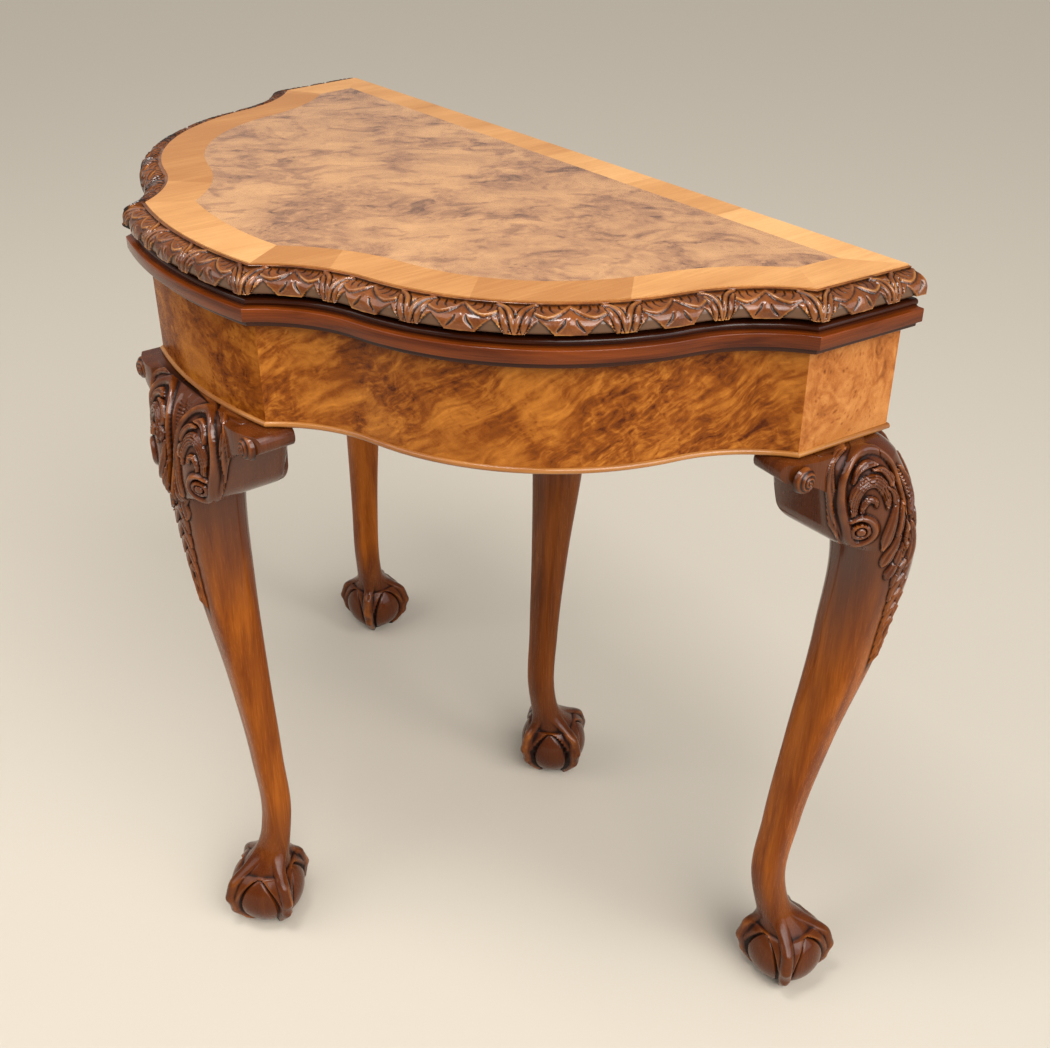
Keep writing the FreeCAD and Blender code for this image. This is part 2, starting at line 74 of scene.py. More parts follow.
class Finish:
    """One finish, built up from patterns that sit on the piece itself."""

    def __init__(self, name, roughness=0.4, coat=0.0):
        self.material = bpy.data.materials.new(name)
        self.material.use_nodes = True
        self.tree = self.material.node_tree
        self.shader = self.tree.nodes["Principled BSDF"]
        self.set("Roughness", roughness)
        self.set("Coat Weight", coat)
        self.set("Coat Roughness", 0.1)
        self.set("Specular IOR Level", 0.2)
        self.place = self.node("ShaderNodeTexCoord", {}, {}, "Object")

    def node(self, kind, settings, inputs, output=0):
        """Add a node, with its settings first, then the numbers or links of its sockets."""
        made = self.tree.nodes.new(kind)
        stops = settings.pop("stops", None)
        for setting, value in settings.items():
            setattr(made, setting, value)
        if stops:
            ramp = made.color_ramp.elements
            while len(ramp) < len(stops):
                ramp.new(1.0)
            for element, (position, colour) in zip(ramp, stops):
                element.position = position
                element.color = (*colour, 1.0)
        for socket, value in inputs.items():
            self.feed(made.inputs[socket], value)
        return Value(self, made.outputs[output])

    def feed(self, socket, value):
        if isinstance(value, Value):
            self.tree.links.new(value.socket, socket)
        else:
            socket.default_value = value

    def set(self, socket, value):
        self.feed(self.shader.inputs[socket], value)

    def turned(self, angle, stretch):
        """The piece's own coordinates in metres, turned about the upright and stretched."""
        inputs = {"Vector": self.place, "Rotation": (0, 0, angle), "Scale": stretch}
        return self.node("ShaderNodeMapping", {"vector_type": "POINT"}, inputs)

    def grain(self, along, slow, quick):
        """The piece's own coordinates, changing slowly along the grain and quickly across it."""
        return self.turned(0, [slow if axis == along else quick for axis in "xyz"])

    def noise(self, place, scale, detail=4.0, distortion=0.0):
        inputs = {"Vector": place, "Scale": scale, "Detail": detail, "Distortion": distortion}
        return self.node("ShaderNodeTexNoise", {}, inputs)

    def spread(self, value, low, high):
        """Stretch the part of a value between low and high to run from 0 to 1."""
        return self.node("ShaderNodeMapRange", {}, {0: value, 1: low, 2: high})

    def ramp(self, value, stops):
        return self.node("ShaderNodeValToRGB", {"stops": stops}, {"Fac": value})

    def blend(self, factor, first, second):
        inputs = {0: factor, 6: first, 7: second}
        return self.node("ShaderNodeMix", {"data_type": "RGBA"}, inputs, 2)

    def bump(self, height, depth):
        inputs = {"Height": height, "Distance": depth, "Strength": 1.0}
        self.set("Normal", self.node("ShaderNodeBump", {}, inputs))


def dress(finish, *names):
    """Give CAD pieces their finish."""
    for name in names:
        nodes[name].data.materials.clear()
        nodes[name].data.materials.append(finish.material)


def straight_grain(name, dark, light, along, roughness, coat):
    """Solid timber with its grain along one axis, or along the run of a moulding."""
    wood = Finish(name, coat=coat)
    if along == "run":
        wood.place = wood.node("ShaderNodeTexCoord", {}, {}, "UV")
        along = "y"
    rings = wood.noise(wood.grain(along, 9, 90), 1.0, 3.0, 0.6)
    pores = wood.noise(wood.grain(along, 25, 900), 1.0, 2.0)
    figure = wood.spread(rings * 0.75 + pores * 0.25, 0.35, 0.65)
    wood.tone = wood.ramp(figure, [(0.0, dark), (1.0, light)])
    wood.set("Base Color", wood.tone)
    wood.set("Roughness", roughness + pores * 0.2)
    wood.bump(pores, 0.00025)
    return wood


carcass_dark = (0.20, 0.105, 0.045)
carcass_light = (0.36, 0.21, 0.10)
long_timber = straight_grain("carcass_timber_long", carcass_dark, carcass_light, "x", 0.5, 0.0)
deep_timber = straight_grain("carcass_timber_deep", carcass_dark, carcass_light, "y", 0.5, 0.0)
dress(long_timber, "back_rail_left", "back_rail_right", "slide_stop_rail")
dress(long_timber, "upper_leaf_board", "lower_leaf_board", "frame_back_rail", "frame_cross_tie")
dress(deep_timber, "slide_bearer_left", "slide_bearer_right", "frame_side_left", "frame_side_right")


# Frieze: shaped boards faced with burr veneer, french polished to a deep golden brown.
# Each length is one sheet of veneer, jointed at the breaks; the swelling sides show a streaky figure.
def burr(name, tones, turn, streak, flame, pips, shade, lean=0.0, blotches=0.0, coat=0.06):
    """Burr veneer: calm golden wood between busy dark islands, drawn out in flames that lean one way."""
    dark, middle, light = tones
    veneer = Finish(name, coat=coat)
    veneer.set("Specular IOR Level", 2 * coat)
    place = veneer.turned(turn, (1.0, 1.0, 1.0))
    wander = veneer.node("ShaderNodeTexNoise", {}, {"Vector": place, "Scale": 9.0, "Detail": 3.0}, 1)
    swirl = veneer.node("ShaderNodeVectorMath", {"operation": "MULTIPLY_ADD"},
                        {0: wander, 1: (0.06, 0.06, 0.06), 2: place})
    leaning = veneer.node("ShaderNodeMapping", {}, {"Vector": swirl, "Rotation": (0, lean, 0)})
    drawn = veneer.node("ShaderNodeMapping", {}, {"Vector": leaning, "Scale": streak})
    flames = veneer.noise(drawn, 1.0, 4.0, 0.9)
    feathers = veneer.noise(drawn, 5.0, 4.0, 0.6)
    islands = veneer.spread(veneer.noise(drawn, 2.1, 4.0, 0.8), 0.54, 0.63)
    curls = veneer.noise(swirl, 90.0, 3.0, 1.5)
    busy = veneer.spread(veneer.noise(swirl, 15.0, 4.0, 0.9), 0.58, 0.42)
    cells = veneer.node("ShaderNodeTexVoronoi", {"feature": "SMOOTH_F1"},
                        {"Vector": swirl, "Scale": 190.0, "Smoothness": 0.3})
    eyes = veneer.spread(cells, 0.30, 0.10) * veneer.spread(veneer.noise(place, 26.0, 3.0), 0.48, 0.60) * pips
    fine = (curls - 0.5) * (busy * 0.6 + 0.35) + (feathers - 0.5) * (busy * 0.5 + 0.3) * flame
    figure = (flames - 0.5) * flame + fine - busy * 0.24 - islands * blotches - eyes * 0.35 + (shade + 0.66)
    tone = veneer.ramp(figure, [(0.0, dark), (0.42, middle), (1.0, light)])
    pores = veneer.noise(veneer.turned(turn, (700.0, 700.0, 700.0)), 1.0, 2.0)
    veneer.set("Base Color", veneer.blend(veneer.spread(pores, 0.5, 0.8) * 0.15, tone, (*dark, 1.0)))
    veneer.set("Roughness", 0.2 + pores * 0.16)
    veneer.bump(pores, 0.00004)
    return veneer


frieze_tones = ((0.070, 0.012, 0.0008), (0.225, 0.056, 0.004), (0.54, 0.195, 0.026))
# The ends take lighter tones than the rest of the frieze: painted light, for the end faces the lamps at the
# right.
end_tones_painted_light = ((0.17, 0.042, 0.006), (0.38, 0.122, 0.024), (0.62, 0.27, 0.075))
front_burr = burr("frieze_burr_front", frieze_tones, turn=0.0, streak=(22, 34, 50),
                  flame=1.0, pips=1.0, shade=-0.04, coat=0.01)
side_burr = burr("frieze_burr_side", frieze_tones, turn=-0.79, streak=(17, 40, 80),
                 flame=1.3, pips=0.5, shade=-0.03, lean=math.radians(33))
end_burr = burr("frieze_burr_end", end_tones_painted_light, turn=0.3, streak=(40, 40, 40), flame=0.8, pips=1.0, shade=0.04)
sides = ("left", "right")
dress(front_burr, "frieze_front")
for side in sides:
    dress(side_burr, "frieze_serpentine_" + side)
    dress(end_burr, "frieze_end_" + side)


# Bead: a small half-round of solid wood under the frieze, mitred at the breaks, polished bright golden.
# It follows the table's plan: a bowed front, serpentine sides of three arcs, and short splayed ends.
mm = 0.001
back_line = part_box("upper_leaf_board")[1].y
back_half = 392 * mm
end_splay = 8 * mm
end_depth = 92 * mm
bow_half = 94 * mm
bow_depth = 385 * mm
bow_rise = 10.8 * mm
hollow_ratio = 0.62
turn_angle = math.radians(31.6)
exit_angle = math.radians(9.7)
mitre_ease = 30 * mm
weld_gap = 0.01 * mm
cap_corners = 9


def arc(centre, start, finish, step):
    """Points and outward directions along a circular stretch, a step apart."""
    first = math.atan2(start[1] - centre[1], start[0] - centre[0])
    last = math.atan2(finish[1] - centre[1], finish[0] - centre[0])
    turn = (last - first + math.pi) % (2 * math.pi) - math.pi
    radius = math.dist(start, centre)
    angles = first + turn * np.linspace(0, 1, max(2, round(radius * abs(turn) / step)) + 1)
    spoke = np.stack([np.cos(angles), np.sin(angles)], 1)
    return np.array(centre) + spoke * radius, spoke * math.copysign(1, turn)


def plan_side(place, step):
    """One side of the plan as points, outward directions and distances run; the left is a mirror image."""
    front = np.array((bow_half, back_line - bow_depth))
    end = np.array((back_half - end_splay, back_line - end_depth))
    if place == "front":
        radius = (bow_half ** 2 + bow_rise ** 2) / (2 * bow_rise)
        stretches = [arc((0, front[1] - bow_rise + radius), front * (-1, 1), front, step)]
    elif place == "end":
        back = np.array((back_half, back_line))
        count = round(math.dist(end, back) / step)
        way = (back - end) / math.dist(end, back)
        points = end + (back - end) * np.linspace(0, 1, count + 1)[:, None]
        stretches = [(points, np.tile((way[1], -way[0]), (count + 1, 1)))]
    else:
        half = math.dist(front, end) / 2
        along = (end - front) / (2 * half)
        out = np.array((along[1], -along[0]))
        middle = (front + end) / 2
        swell = half / (math.sin(turn_angle) + hollow_ratio * (math.sin(turn_angle) + math.sin(exit_angle)))
        hollow = swell * hollow_ratio
        far = half - hollow * math.sin(exit_angle)
        lift = hollow * math.cos(exit_angle)
        change = swell * math.sin(turn_angle)
        rise = lift - hollow * math.cos(turn_angle)
        crown = middle + out * (rise - swell * math.cos(turn_angle))
        near_change = middle - along * change + out * rise
        far_change = middle + along * change + out * rise
        stretches = [arc(middle - along * far + out * lift, front, near_change, step),
                     arc(crown, near_change, far_change, step),
                     arc(middle + along * far + out * lift, far_change, end, step)]
    points = np.concatenate([stretches[0][0]] + [stretch[0][1:] for stretch in stretches[1:]])
    outward = np.concatenate([stretches[0][1]] + [stretch[1][1:] for stretch in stretches[1:]])
    run = np.concatenate([[0], np.cumsum(np.linalg.norm(np.diff(points, axis=0), axis=1))])
    return points, outward, run


def mitred(outward, run, before, after):
    """Lean the outward directions over, little by little, to the mitres shared with the neighbours."""
    out = outward.copy()
    ahead = np.stack([-outward[:, 1], outward[:, 0]], 1)
    for index, neighbour in ((0, before), (-1, after)):
        bisector = outward[index] + neighbour
        slip = np.dot(bisector, ahead[index]) / np.dot(bisector, outward[index])
        fade = np.clip(1 - np.abs(run - run[index]) / mitre_ease, 0, 1)
        out = out + ahead * (slip * fade)[:, None]
    return out


def draped(name, places):
    """A sheet of small faces laid over rows of points."""
    rows, columns = places.shape[:2]
    bpy.ops.object.select_all(action="DESELECT")
    bpy.ops.mesh.primitive_grid_add(x_subdivisions=columns - 1, y_subdivisions=rows - 1)
    sheet = bpy.context.object
    sheet.name = name
    sheet.data.vertices.foreach_set("co", places.ravel())
    sheet.data.update()
    return sheet


def sweep(name, place, profile, step):
    """A length of moulding: a closed profile of offsets and heights carried along one side of the plan."""
    side = place.split("_")[0]
    points, outward, run = plan_side(side, step)
    around = {part: plan_side(part, step)[1] for part in ("front", "serpentine", "end")}
    neighbours = {"front": (around["serpentine"][0] * (-1, 1), around["serpentine"][0]),
                  "serpentine": (around["front"][-1], around["end"][0]),
                  "end": (around["serpentine"][-1], around["end"][-1] * (1, -1))}
    outward = mitred(outward, run, *neighbours[side])
    profile = np.array(profile) * mm
    ring = np.concatenate([profile, profile[:1]])
    flat = points[:, None] + outward[:, None] * ring[None, :, :1]
    high = np.broadcast_to(ring[None, :, 1:], (*flat.shape[:2], 1))
    solid = np.concatenate([flat, high], 2)
    if place.endswith("left"):
        solid[:, :, 0] *= -1
    length = draped(name, solid)
    girth = np.concatenate([[0], np.cumsum(np.linalg.norm(np.diff(ring, axis=0), axis=1))])
    spread = np.stack(np.broadcast_arrays(girth[None, :], run[:, None]), 2).reshape(-1, 2)
    corners = np.array([corner.vertex_index for corner in length.data.loops])
    length.data.uv_layers[0].data.foreach_set("uv", spread[corners].ravel())
    return length, girth, run


def close_up(piece, smooth_angle):
    """Weld the seam, cap the open ends, turn the faces outwards and smooth all but the sharp arrises."""
    bpy.ops.object.select_all(action="DESELECT")
    piece.select_set(True)
    bpy.context.view_layer.objects.active = piece
    bpy.ops.object.mode_set(mode="EDIT")
    bpy.ops.mesh.select_all(action="SELECT")
    bpy.ops.mesh.remove_doubles(threshold=weld_gap)
    bpy.ops.mesh.fill_holes(sides=0)
    bpy.ops.mesh.normals_make_consistent(inside=False)
    bpy.ops.object.mode_set(mode="OBJECT")
    bpy.ops.object.shade_smooth_by_angle(angle=smooth_angle)
    for face in piece.data.polygons:
        face.use_smooth = len(face.vertices) < cap_corners


def stand_for(piece, body, slot, finish, *replaced):
    """Hang a finished piece on its body in place of the CAD nodes that it shows."""
    piece.data.materials.clear()
    piece.data.materials.append(finish.material)
    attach(piece, body)
    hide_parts(*replaced)


def half_round(centre, radius, first, last, count):
    """Points on an arc of a moulding's profile, between two angles from straight out."""
    angles = np.radians(np.linspace(first, last, count))
    return [(centre[0] + radius * math.cos(a), centre[1] + radius * math.sin(a)) for a in angles]


runs = ("front", "serpentine_left", "serpentine_right", "end_left", "end_right")
bead_wood = straight_grain("bead_wood", (0.20, 0.058, 0.009), (0.42, 0.175, 0.040), "run", 0.14, 0.6)
bead_low = 606.0
bead_high = bead_low + 5.0
bead_back = -9.2
bead_round = half_round((2.9, bead_low + 2.5), 2.45, -88, 88, 9)
bead_profile = [(bead_back, bead_low), *bead_round, (bead_back, bead_high)]
for run in runs:
    strip = sweep("beading_" + run, run, bead_profile, 6 * mm)[0]
    close_up(strip, math.radians(50))
    stand_for(strip, "carcass", "bead_walnut", bead_wood, "bead_" + run)


# Legs: cabriole legs cut from the solid, on claw and ball feet, stained a deep red brown and polished.
# The front leg and the two corner legs have scrolled knees with husks hanging below; the rear leg is plain.
def shaped(height, heights, values):
    """A smooth line through a few sizes taken up the leg."""
    heights = np.array(heights, float)
    values = np.array(values, float)
    slope = np.gradient(values, heights)
    low = np.clip(np.searchsorted(heights, height) - 1, 0, len(heights) - 2)
    gap = heights[low + 1] - heights[low]
    part = np.clip((height - heights[low]) / gap, 0, 1)
    rise = part * part * (3 - 2 * part)
    lead = gap * part * (1 - part) * (slope[low] * (1 - part) - slope[low + 1] * part)
    return values[low] * (1 - rise) + values[low + 1] * rise + lead


def through(points, count):
    """Points along a smooth curve that passes through each point given."""
    points = np.array(points, float)
    ends = np.concatenate([2 * points[:1] - points[1:2], points, 2 * points[-1:] - points[-2:-1]])
    way = np.linspace(0, len(points) - 1, count)
    low = np.minimum(way.astype(int), len(points) - 2)
    part = (way - low)[:, None]
    a, b, c, d = (ends[low + step] for step in range(4))
    bend = (2 * a - 5 * b + 4 * c - d) * part ** 2 + (3 * b - a - 3 * c + d) * part ** 3
    return b + ((c - a) * part + bend) / 2


def stroke(spots, path, width, root=0.4, belly=0.6, tip=2.0):
    """How far inside one drawn leaf or stem each spot lies: across (0 middle, 1 edge) and along it."""
    line = through(path, 5 * len(path) + 3)
    nearest = np.full(len(spots), np.inf)
    along = np.zeros(len(spots))
    for index in range(len(line) - 1):
        way = line[index + 1] - line[index]
        part = np.clip((spots - line[index]) @ way / (way @ way), 0, 1)
        gap = np.linalg.norm(spots - line[index] - part[:, None] * way, axis=1)
        closer = gap < nearest
        nearest[closer] = gap[closer]
        along[closer] = (index + part[closer]) / (len(line) - 1)
    swell = root + (1 - root) * np.sin(np.pi / 2 * np.minimum(along / belly, 1))
    close = 1 - np.clip((along - belly) / (1 - belly), 0, 1) ** tip
    return nearest / (width * np.maximum(swell * close, 0.001)), along


def leaf(relief, spots, path, width, lift, vein=0.0, flutes=0.0, lines=1.0, **shape):
    """Lay a rounded leaf or band over the carving, cut in round its edge, veined or fluted along it."""
    across = stroke(spots, path, width, **shape)[0]
    body = lift * np.sqrt(np.clip(1 - across ** 2, 0, 1)) - vein * np.exp(-(across / 0.25) ** 2)
    body = body - flutes * (1 - np.abs(np.cos(math.pi * lines * np.minimum(across, 1))))
    relief = np.where((across >= 1) & (across < 1.3), relief * 0.5, relief)
    return np.where(across < 1, np.maximum(relief * 0.45, body), relief)


def gouge(relief, spots, path, width, depth, **shape):
    """Cut a round-bottomed groove into the carving."""
    across = stroke(spots, path, width, **shape)[0]
    return relief - depth * np.sqrt(np.clip(1 - across ** 2, 0, 1))


def scroll(spots, strung):
    """Relief of one knee: a scroll, the fronds in it and husks below; strung with beads on a corner leg."""
    relief = np.zeros(len(spots))
    for husk in range(8):
        top = 522 - 15 * husk
        out = 12 - 0.9 * husk
        slim = 1 - 0.07 * husk
        inner = [(-7, top - 6), (-3, top - 15), (-1, top - 28)]
        outer = [(-1, top), (out * 0.6, top - 9), (out, top - 25)]
        relief = leaf(relief, spots, inner, 3.4 * slim, 0.75, vein=0.2)
        relief = leaf(relief, spots, outer, 4.2 * slim, 0.9, vein=0.25)
    if strung:
        hanging = [[(-2, 560), (-6.5, 545), (-6, 531), (-2, 520)],
                   [(-4, 539), (-7.5, 525), (-6.5, 511), (-2, 501)],
                   [(4, 585), (-3, 571), (-5, 557), (-1, 545)], [(9, 512), (14, 502), (19, 493)],
                   [(7, 524), (8.5, 514), (12, 505)], [(11, 539), (15, 526), (19.5, 515), (24, 506)],
                   [(9, 561), (11.5, 546), (14.5, 531)], [(14.5, 566), (18, 551), (22, 536), (25.5, 521)]]
    else:
        hanging = [[(9, 524), (11.5, 511), (14, 498)], [(10, 545), (12.5, 529), (15.5, 514)],
                   [(13, 563), (15, 549), (18, 535), (21, 525)]]
    for path in hanging:
        relief = leaf(relief, spots, path, 4.9, 1.05, flutes=0.3, lines=1.2, root=0.35, belly=0.65, tip=2.2)
    if strung:
        thread = [(30, 605), (22, 599), (14.5, 590.5), (6.5, 580), (1, 568), (-2, 553)]
        across, along = stroke(spots, thread, 2.0, root=1.0)
        beads = np.sqrt(np.clip(1 - across ** 2, 0, 1)) * (0.7 + 0.3 * np.cos(40 * math.pi * along))
        relief = np.where(across < 1, beads, relief)
    great_frond = [(47.5, 551), (49.5, 561), (47.5, 573), (41, 581), (33, 582), (26.5, 576), (23.5, 566),
                   (24.5, 556)]
    small_frond = [(43, 555), (42.5, 562), (38.5, 567.5), (34, 566), (33, 559.5)]
    for path, width, lines in ((great_frond, 5.6, 2.5), (small_frond, 2.9, 1.5)):
        relief = leaf(relief, spots, path, width, 1.0, flutes=0.4, lines=lines, root=0.5, belly=0.5, tip=3)
    curled = (([(50, 583), (46, 591.5), (38, 595.5), (29, 593.5)], 3.2),
              ([(34, 591), (25, 588.5), (19, 580), (20.5, 572.5)], 3.1),
              ([(23, 575), (17.5, 569), (18, 560)], 2.7))
    for path, width in curled:
        relief = leaf(relief, spots, path, width, 1.1, vein=0.35, root=0.45, belly=0.65, tip=2.2)
    edge = [(50, 530), (54.5, 539), (59.5, 553), (64, 571), (67, 588), (66, 599.5), (58, 604.5), (46, 606)]
    relief = leaf(relief, spots, edge, 3.8, 0.95, flutes=0.45, lines=1.5, root=0.6, belly=0.3, tip=3)
    rim = [(50, 550), (43, 552.5), (36, 549), (33, 541), (36, 533), (43, 529), (49, 535), (52.5, 547),
           (56, 560), (58, 574), (57, 587), (50.5, 597.5), (41, 603), (31, 603.5), (21, 599), (13.5, 588.5),
           (10, 574), (7, 558), (5.5, 543), (5.7, 527), (7.5, 511), (9, 493)]
    relief = leaf(relief, spots, rim, 3.9, 1.25, flutes=0.3, lines=0.7, root=0.65, belly=0.15, tip=2.5)
    from_eye = np.linalg.norm(spots - (42.5, 541), axis=1)
    ring = 0.75 * np.clip(1 - np.abs(from_eye - 3.6) / 0.9, 0, 1)
    boss = 1.3 * np.sqrt(np.clip(1 - (from_eye / 9.0) ** 2, 0, 1)) - ring
    return np.where(from_eye < 6.8, boss, relief)


def hollowness(relief):
    """How much lower each spot of a carving lies than the spots around it."""
    around = relief.copy()
    for _ in range(6):
        for axis in (0, 1):
            around = (np.roll(around, 1, axis) + 2 * around + np.roll(around, -1, axis)) / 4
    return around - relief


def note_carving(piece, relief, hollow):
    """Write the relief and the hollows of a carving on its piece, where the finish reads them."""
    for note, value in (("relief", relief), ("hollow", hollow)):
        piece.data.attributes.new(note, "FLOAT", "POINT").data.foreach_set("value", value.ravel())


def raise_carving(piece, relief, hollow, depth, level):
    """Move a surface out to its carved relief, and note relief and hollows for the finish."""
    count = len(piece.data.vertices)
    normals = np.zeros(count * 3)
    piece.data.vertex_normals.foreach_get("vector", normals)
    places = np.zeros(count * 3)
    piece.data.vertices.foreach_get("co", places)
    lift = (relief.ravel() - level) * depth * mm
    moved = places.reshape(-1, 3) + normals.reshape(-1, 3) * lift[:, None]
    piece.data.vertices.foreach_set("co", moved.ravel())
    note_carving(piece, relief, hollow)
    piece.data.update()


ankle_high = 118.0
toe_heights = (0, 8, 16, 26, 36, 45, 52, 58, 64, 70, 76, 84, 97, ankle_high)
toe_crests = (23, 31.5, 38, 43, 46, 46.5, 45, 41.5, 36.5, 29.5, 23, 17, 12, 8)
toe_levels = (0, 12, 24, 40, 60, 80, ankle_high)
toe_halves = (2.6, 5.0, 6.6, 7.2, 7.8, 9.5, 13)
knuckles = (60, 41, 22)
knuckle_swell = 1.9
knuckle_half = 5.0
web_heights = (0, 40, 52, 60, 68, 76, 86, 100, ankle_high)
web_spans = (30, 36, 33, 28.5, 23.5, 19, 15, 11, 8)
ball_radius = 38.0
ball_high = 37.0
lip_low = 24.0
lip_high = 66.0
lip_proud = 2.4
arch_half = math.radians(36)
arch_low = 26.0
arch_rise = 39.0
crease_deep = 2.4


def foot_radius(turn, height):
    """A ball held by four toes, with the web between them drawn back in an arch over the ball."""
    off_toe = np.abs((turn + math.pi / 4) % (math.pi / 2) - math.pi / 4)
    ball = np.sqrt(np.clip(ball_radius ** 2 - (height - ball_high) ** 2, 4, None))
    crest = shaped(height, toe_heights, toe_crests)
    for knuckle in knuckles:
        crest = crest + knuckle_swell * np.exp(-((height - knuckle) / knuckle_half) ** 2)
    lip = np.where((height > lip_low) & (height < lip_high), ball + lip_proud, 0)
    web = np.minimum(np.maximum(shaped(height, web_heights, web_spans), lip), crest)
    half_toe = shaped(height, toe_levels, toe_halves) / crest
    ridge = np.clip(1 - (off_toe / half_toe) ** 2, 0, 1) ** 0.5
    shell = web + (crest - web) * np.maximum(ridge, 0.4 * np.exp(-(off_toe / half_toe / 1.3) ** 2))
    arch = arch_half * np.sqrt(np.clip(1 - (np.clip(height - arch_low, 0, None) / arch_rise) ** 2, 0, 1))
    edge = (off_toe - (math.pi / 4 - arch)) / math.radians(3)
    inside = np.where(arch > 0, np.clip(edge + 0.5, 0, 1), 0)
    crease = crease_deep * np.exp(-((edge - 1.0) / 0.8) ** 2) * (arch > 0) * (height > 3)
    return np.maximum(shell * (1 - inside) + (ball - crease) * inside, np.where(inside > 0, 2, ball))


knee_low = 440.0
knee_high = 515.0
knee_top = 606.0
scroll_low = 519.5
scroll_round = 22.0
scroll_middle = 572.0
wedge_low = 566.0
carving_low = 400.0
claws_high = 104.0
roll_high = 20.0
crest_inset = 36.0
block_back = 44.0
knee_depth = 3.4
pole_heights = (0, 40, 62, 90, ankle_high, 200, 300, 420, knee_high, 560, knee_top)
stem_heights = (0, 125, 200, 300, 420, knee_high)
stem_swell = (0, 0, 0.05, 0.27, 0.72, 1.0)


class Style:
    """How one kind of leg is set out, in millimetres from the middle of its foot.

    A carved leg has a wing on each side, which carries its scroll along the frieze.
    """

    def __init__(self, turn, square, ankle, knee, sets, shoulder, wing, shift):
        self.turn = math.radians(turn)
        self.square = square
        self.ankle = ankle
        self.knee = knee
        self.sets = sets
        self.shoulder = shoulder
        self.wing = wing
        self.shift = shift

    def pole(self, height):
        """How far the middle of the leg stands ahead of the middle of its foot."""
        return shaped(height, pole_heights, self.sets)

    def face(self, height):
        """How far the knee's face stands out; over the knee it rolls back to the bead."""
        top, full = self.shoulder
        rise = np.clip((height - knee_high) / (knee_top - knee_high + 1), 0, 1)
        return top + (full - top) * np.sqrt(1 - rise ** 2)

    def core(self, height):
        """Half the thickness of the leg itself, from the ankle to the bead."""
        stem = shaped(height, stem_heights, stem_swell)
        half = self.ankle + (self.knee - self.ankle) * stem
        reach = self.face(height) - self.pole(height) * math.cos(self.turn)
        return np.where(height > knee_high, np.minimum(reach, self.knee), half)

    def radius(self, turn, height):
        """Distance from the leg's middle line to its surface, before carving."""
        along = np.cos(turn) * -math.sin(self.turn) + np.abs(np.sin(turn)) * math.cos(self.turn)
        out = np.cos(turn) * math.cos(self.turn) + np.abs(np.sin(turn)) * math.sin(self.turn)
        rounded = np.abs(along) ** self.square + np.abs(out) ** self.square
        core = self.core(height) * rounded ** (-1 / self.square)
        foot = np.where(height < ankle_high, foot_radius(turn, height), 0)
        shape = np.where(height < ankle_high, (core ** 6 + foot ** 6) ** (1 / 6), core)
        if self.wing is None:
            return shape
        pole_along = -self.pole(height) * math.sin(self.turn)
        pole_out = self.pole(height) * math.cos(self.turn)
        rim = self.rim(height)
        swell = self.wing["swell"] * np.clip((knee_top - height) / roll_high, 0, 1)
        full = np.maximum(self.face(height) + swell, rim + 0.5)
        span = self.span(height)
        crest = np.minimum(self.wing["crest"], span - crest_inset)
        bend = (full - rim) / (span - crest) ** 2
        linear = out + 2 * bend * along * (pole_along - crest)
        short = bend * (pole_along - crest) ** 2 + pole_out - full
        root = np.sqrt(np.maximum(linear ** 2 - 4 * bend * along ** 2 * short, 0))
        limits = ((linear + root) / (-2 * short), along / (span - pole_along), -out / (pole_out + block_back))
        wing = sum(np.clip(limit, 0.0001, None) ** 20 for limit in limits) ** (-1 / 20)
        joined = (shape ** 18 + wing ** 18) ** (1 / 18)
        return np.where((height > scroll_low) & (along > 0), joined, shape)

    def rim(self, height):
        """How far the outer edge of the scroll stands out; it rolls back under the bead at the top."""
        over = np.clip((height - knee_top + roll_high) / roll_high, 0, 1)
        rolled = self.wing["roll"] * (1 - np.sqrt(1 - over ** 2))
        return self.wing["edge"] + (knee_top - height) * self.wing["fall"] - rolled

    def span(self, height):
        """How far the scroll reaches along the frieze; it draws in to a round at the foot."""
        drop = np.clip((scroll_low + scroll_round - height) / scroll_round, 0, 1)
        drawn_in = scroll_round * (1 - np.sqrt(1 - drop ** 2))
        return self.wing["reach"] - self.wing["slant"] * (knee_top - height) - drawn_in


straight_sets = (0, 0, -1, -13, -18.5, -16.5, -9, 1.5, 4.5, 1, -10)
corner_sets = (0, 0, -1, -16, -23, -18.5, -4, 17, 24, 14, -10)
front_wing = {"crest": 25, "swell": 4.0, "reach": 80, "slant": 0.35, "edge": 9, "fall": 0.13, "roll": 6}
corner_wing = {"crest": -18, "swell": 0.0, "reach": 53.5, "slant": 0.2, "edge": 14, "fall": 0.08, "roll": 5}
front_style = Style(turn=0, square=3.2, ankle=13.4, knee=28.5, sets=straight_sets,
                    shoulder=(2.0, 33), wing=front_wing, shift=0.0)
corner_style = Style(turn=45, square=2.8, ankle=14.8, knee=31.5, sets=corner_sets,
                     shoulder=(8.5, 48.5), wing=corner_wing, shift=19.8)
rear_style = Style(turn=0, square=3.2, ankle=13.4, knee=28.5, sets=straight_sets,
                   shoulder=(6.5, 33), wing=None, shift=0.0)


def spaced_turns(style, count):
    """Directions round the leg, closer where the knee is carved."""
    turns = np.linspace(0, math.pi, 3601)
    spread = style.radius(turns, np.full(turns.shape, scroll_middle))
    places = np.stack([np.cos(turns), np.sin(turns)], 1) * spread[:, None]
    length = np.linalg.norm(np.diff(places, axis=0), axis=1)
    behind = np.cos(turns[1:] - style.turn) < -0.05
    weight = np.where(behind, 0.12, 1.0) * length + 14 * np.diff(turns)
    total = np.concatenate([[0], np.cumsum(weight)])
    half = np.interp(np.linspace(0, total[-1], count // 2 + 1), total, turns)
    return np.concatenate([-half[:0:-1], half])


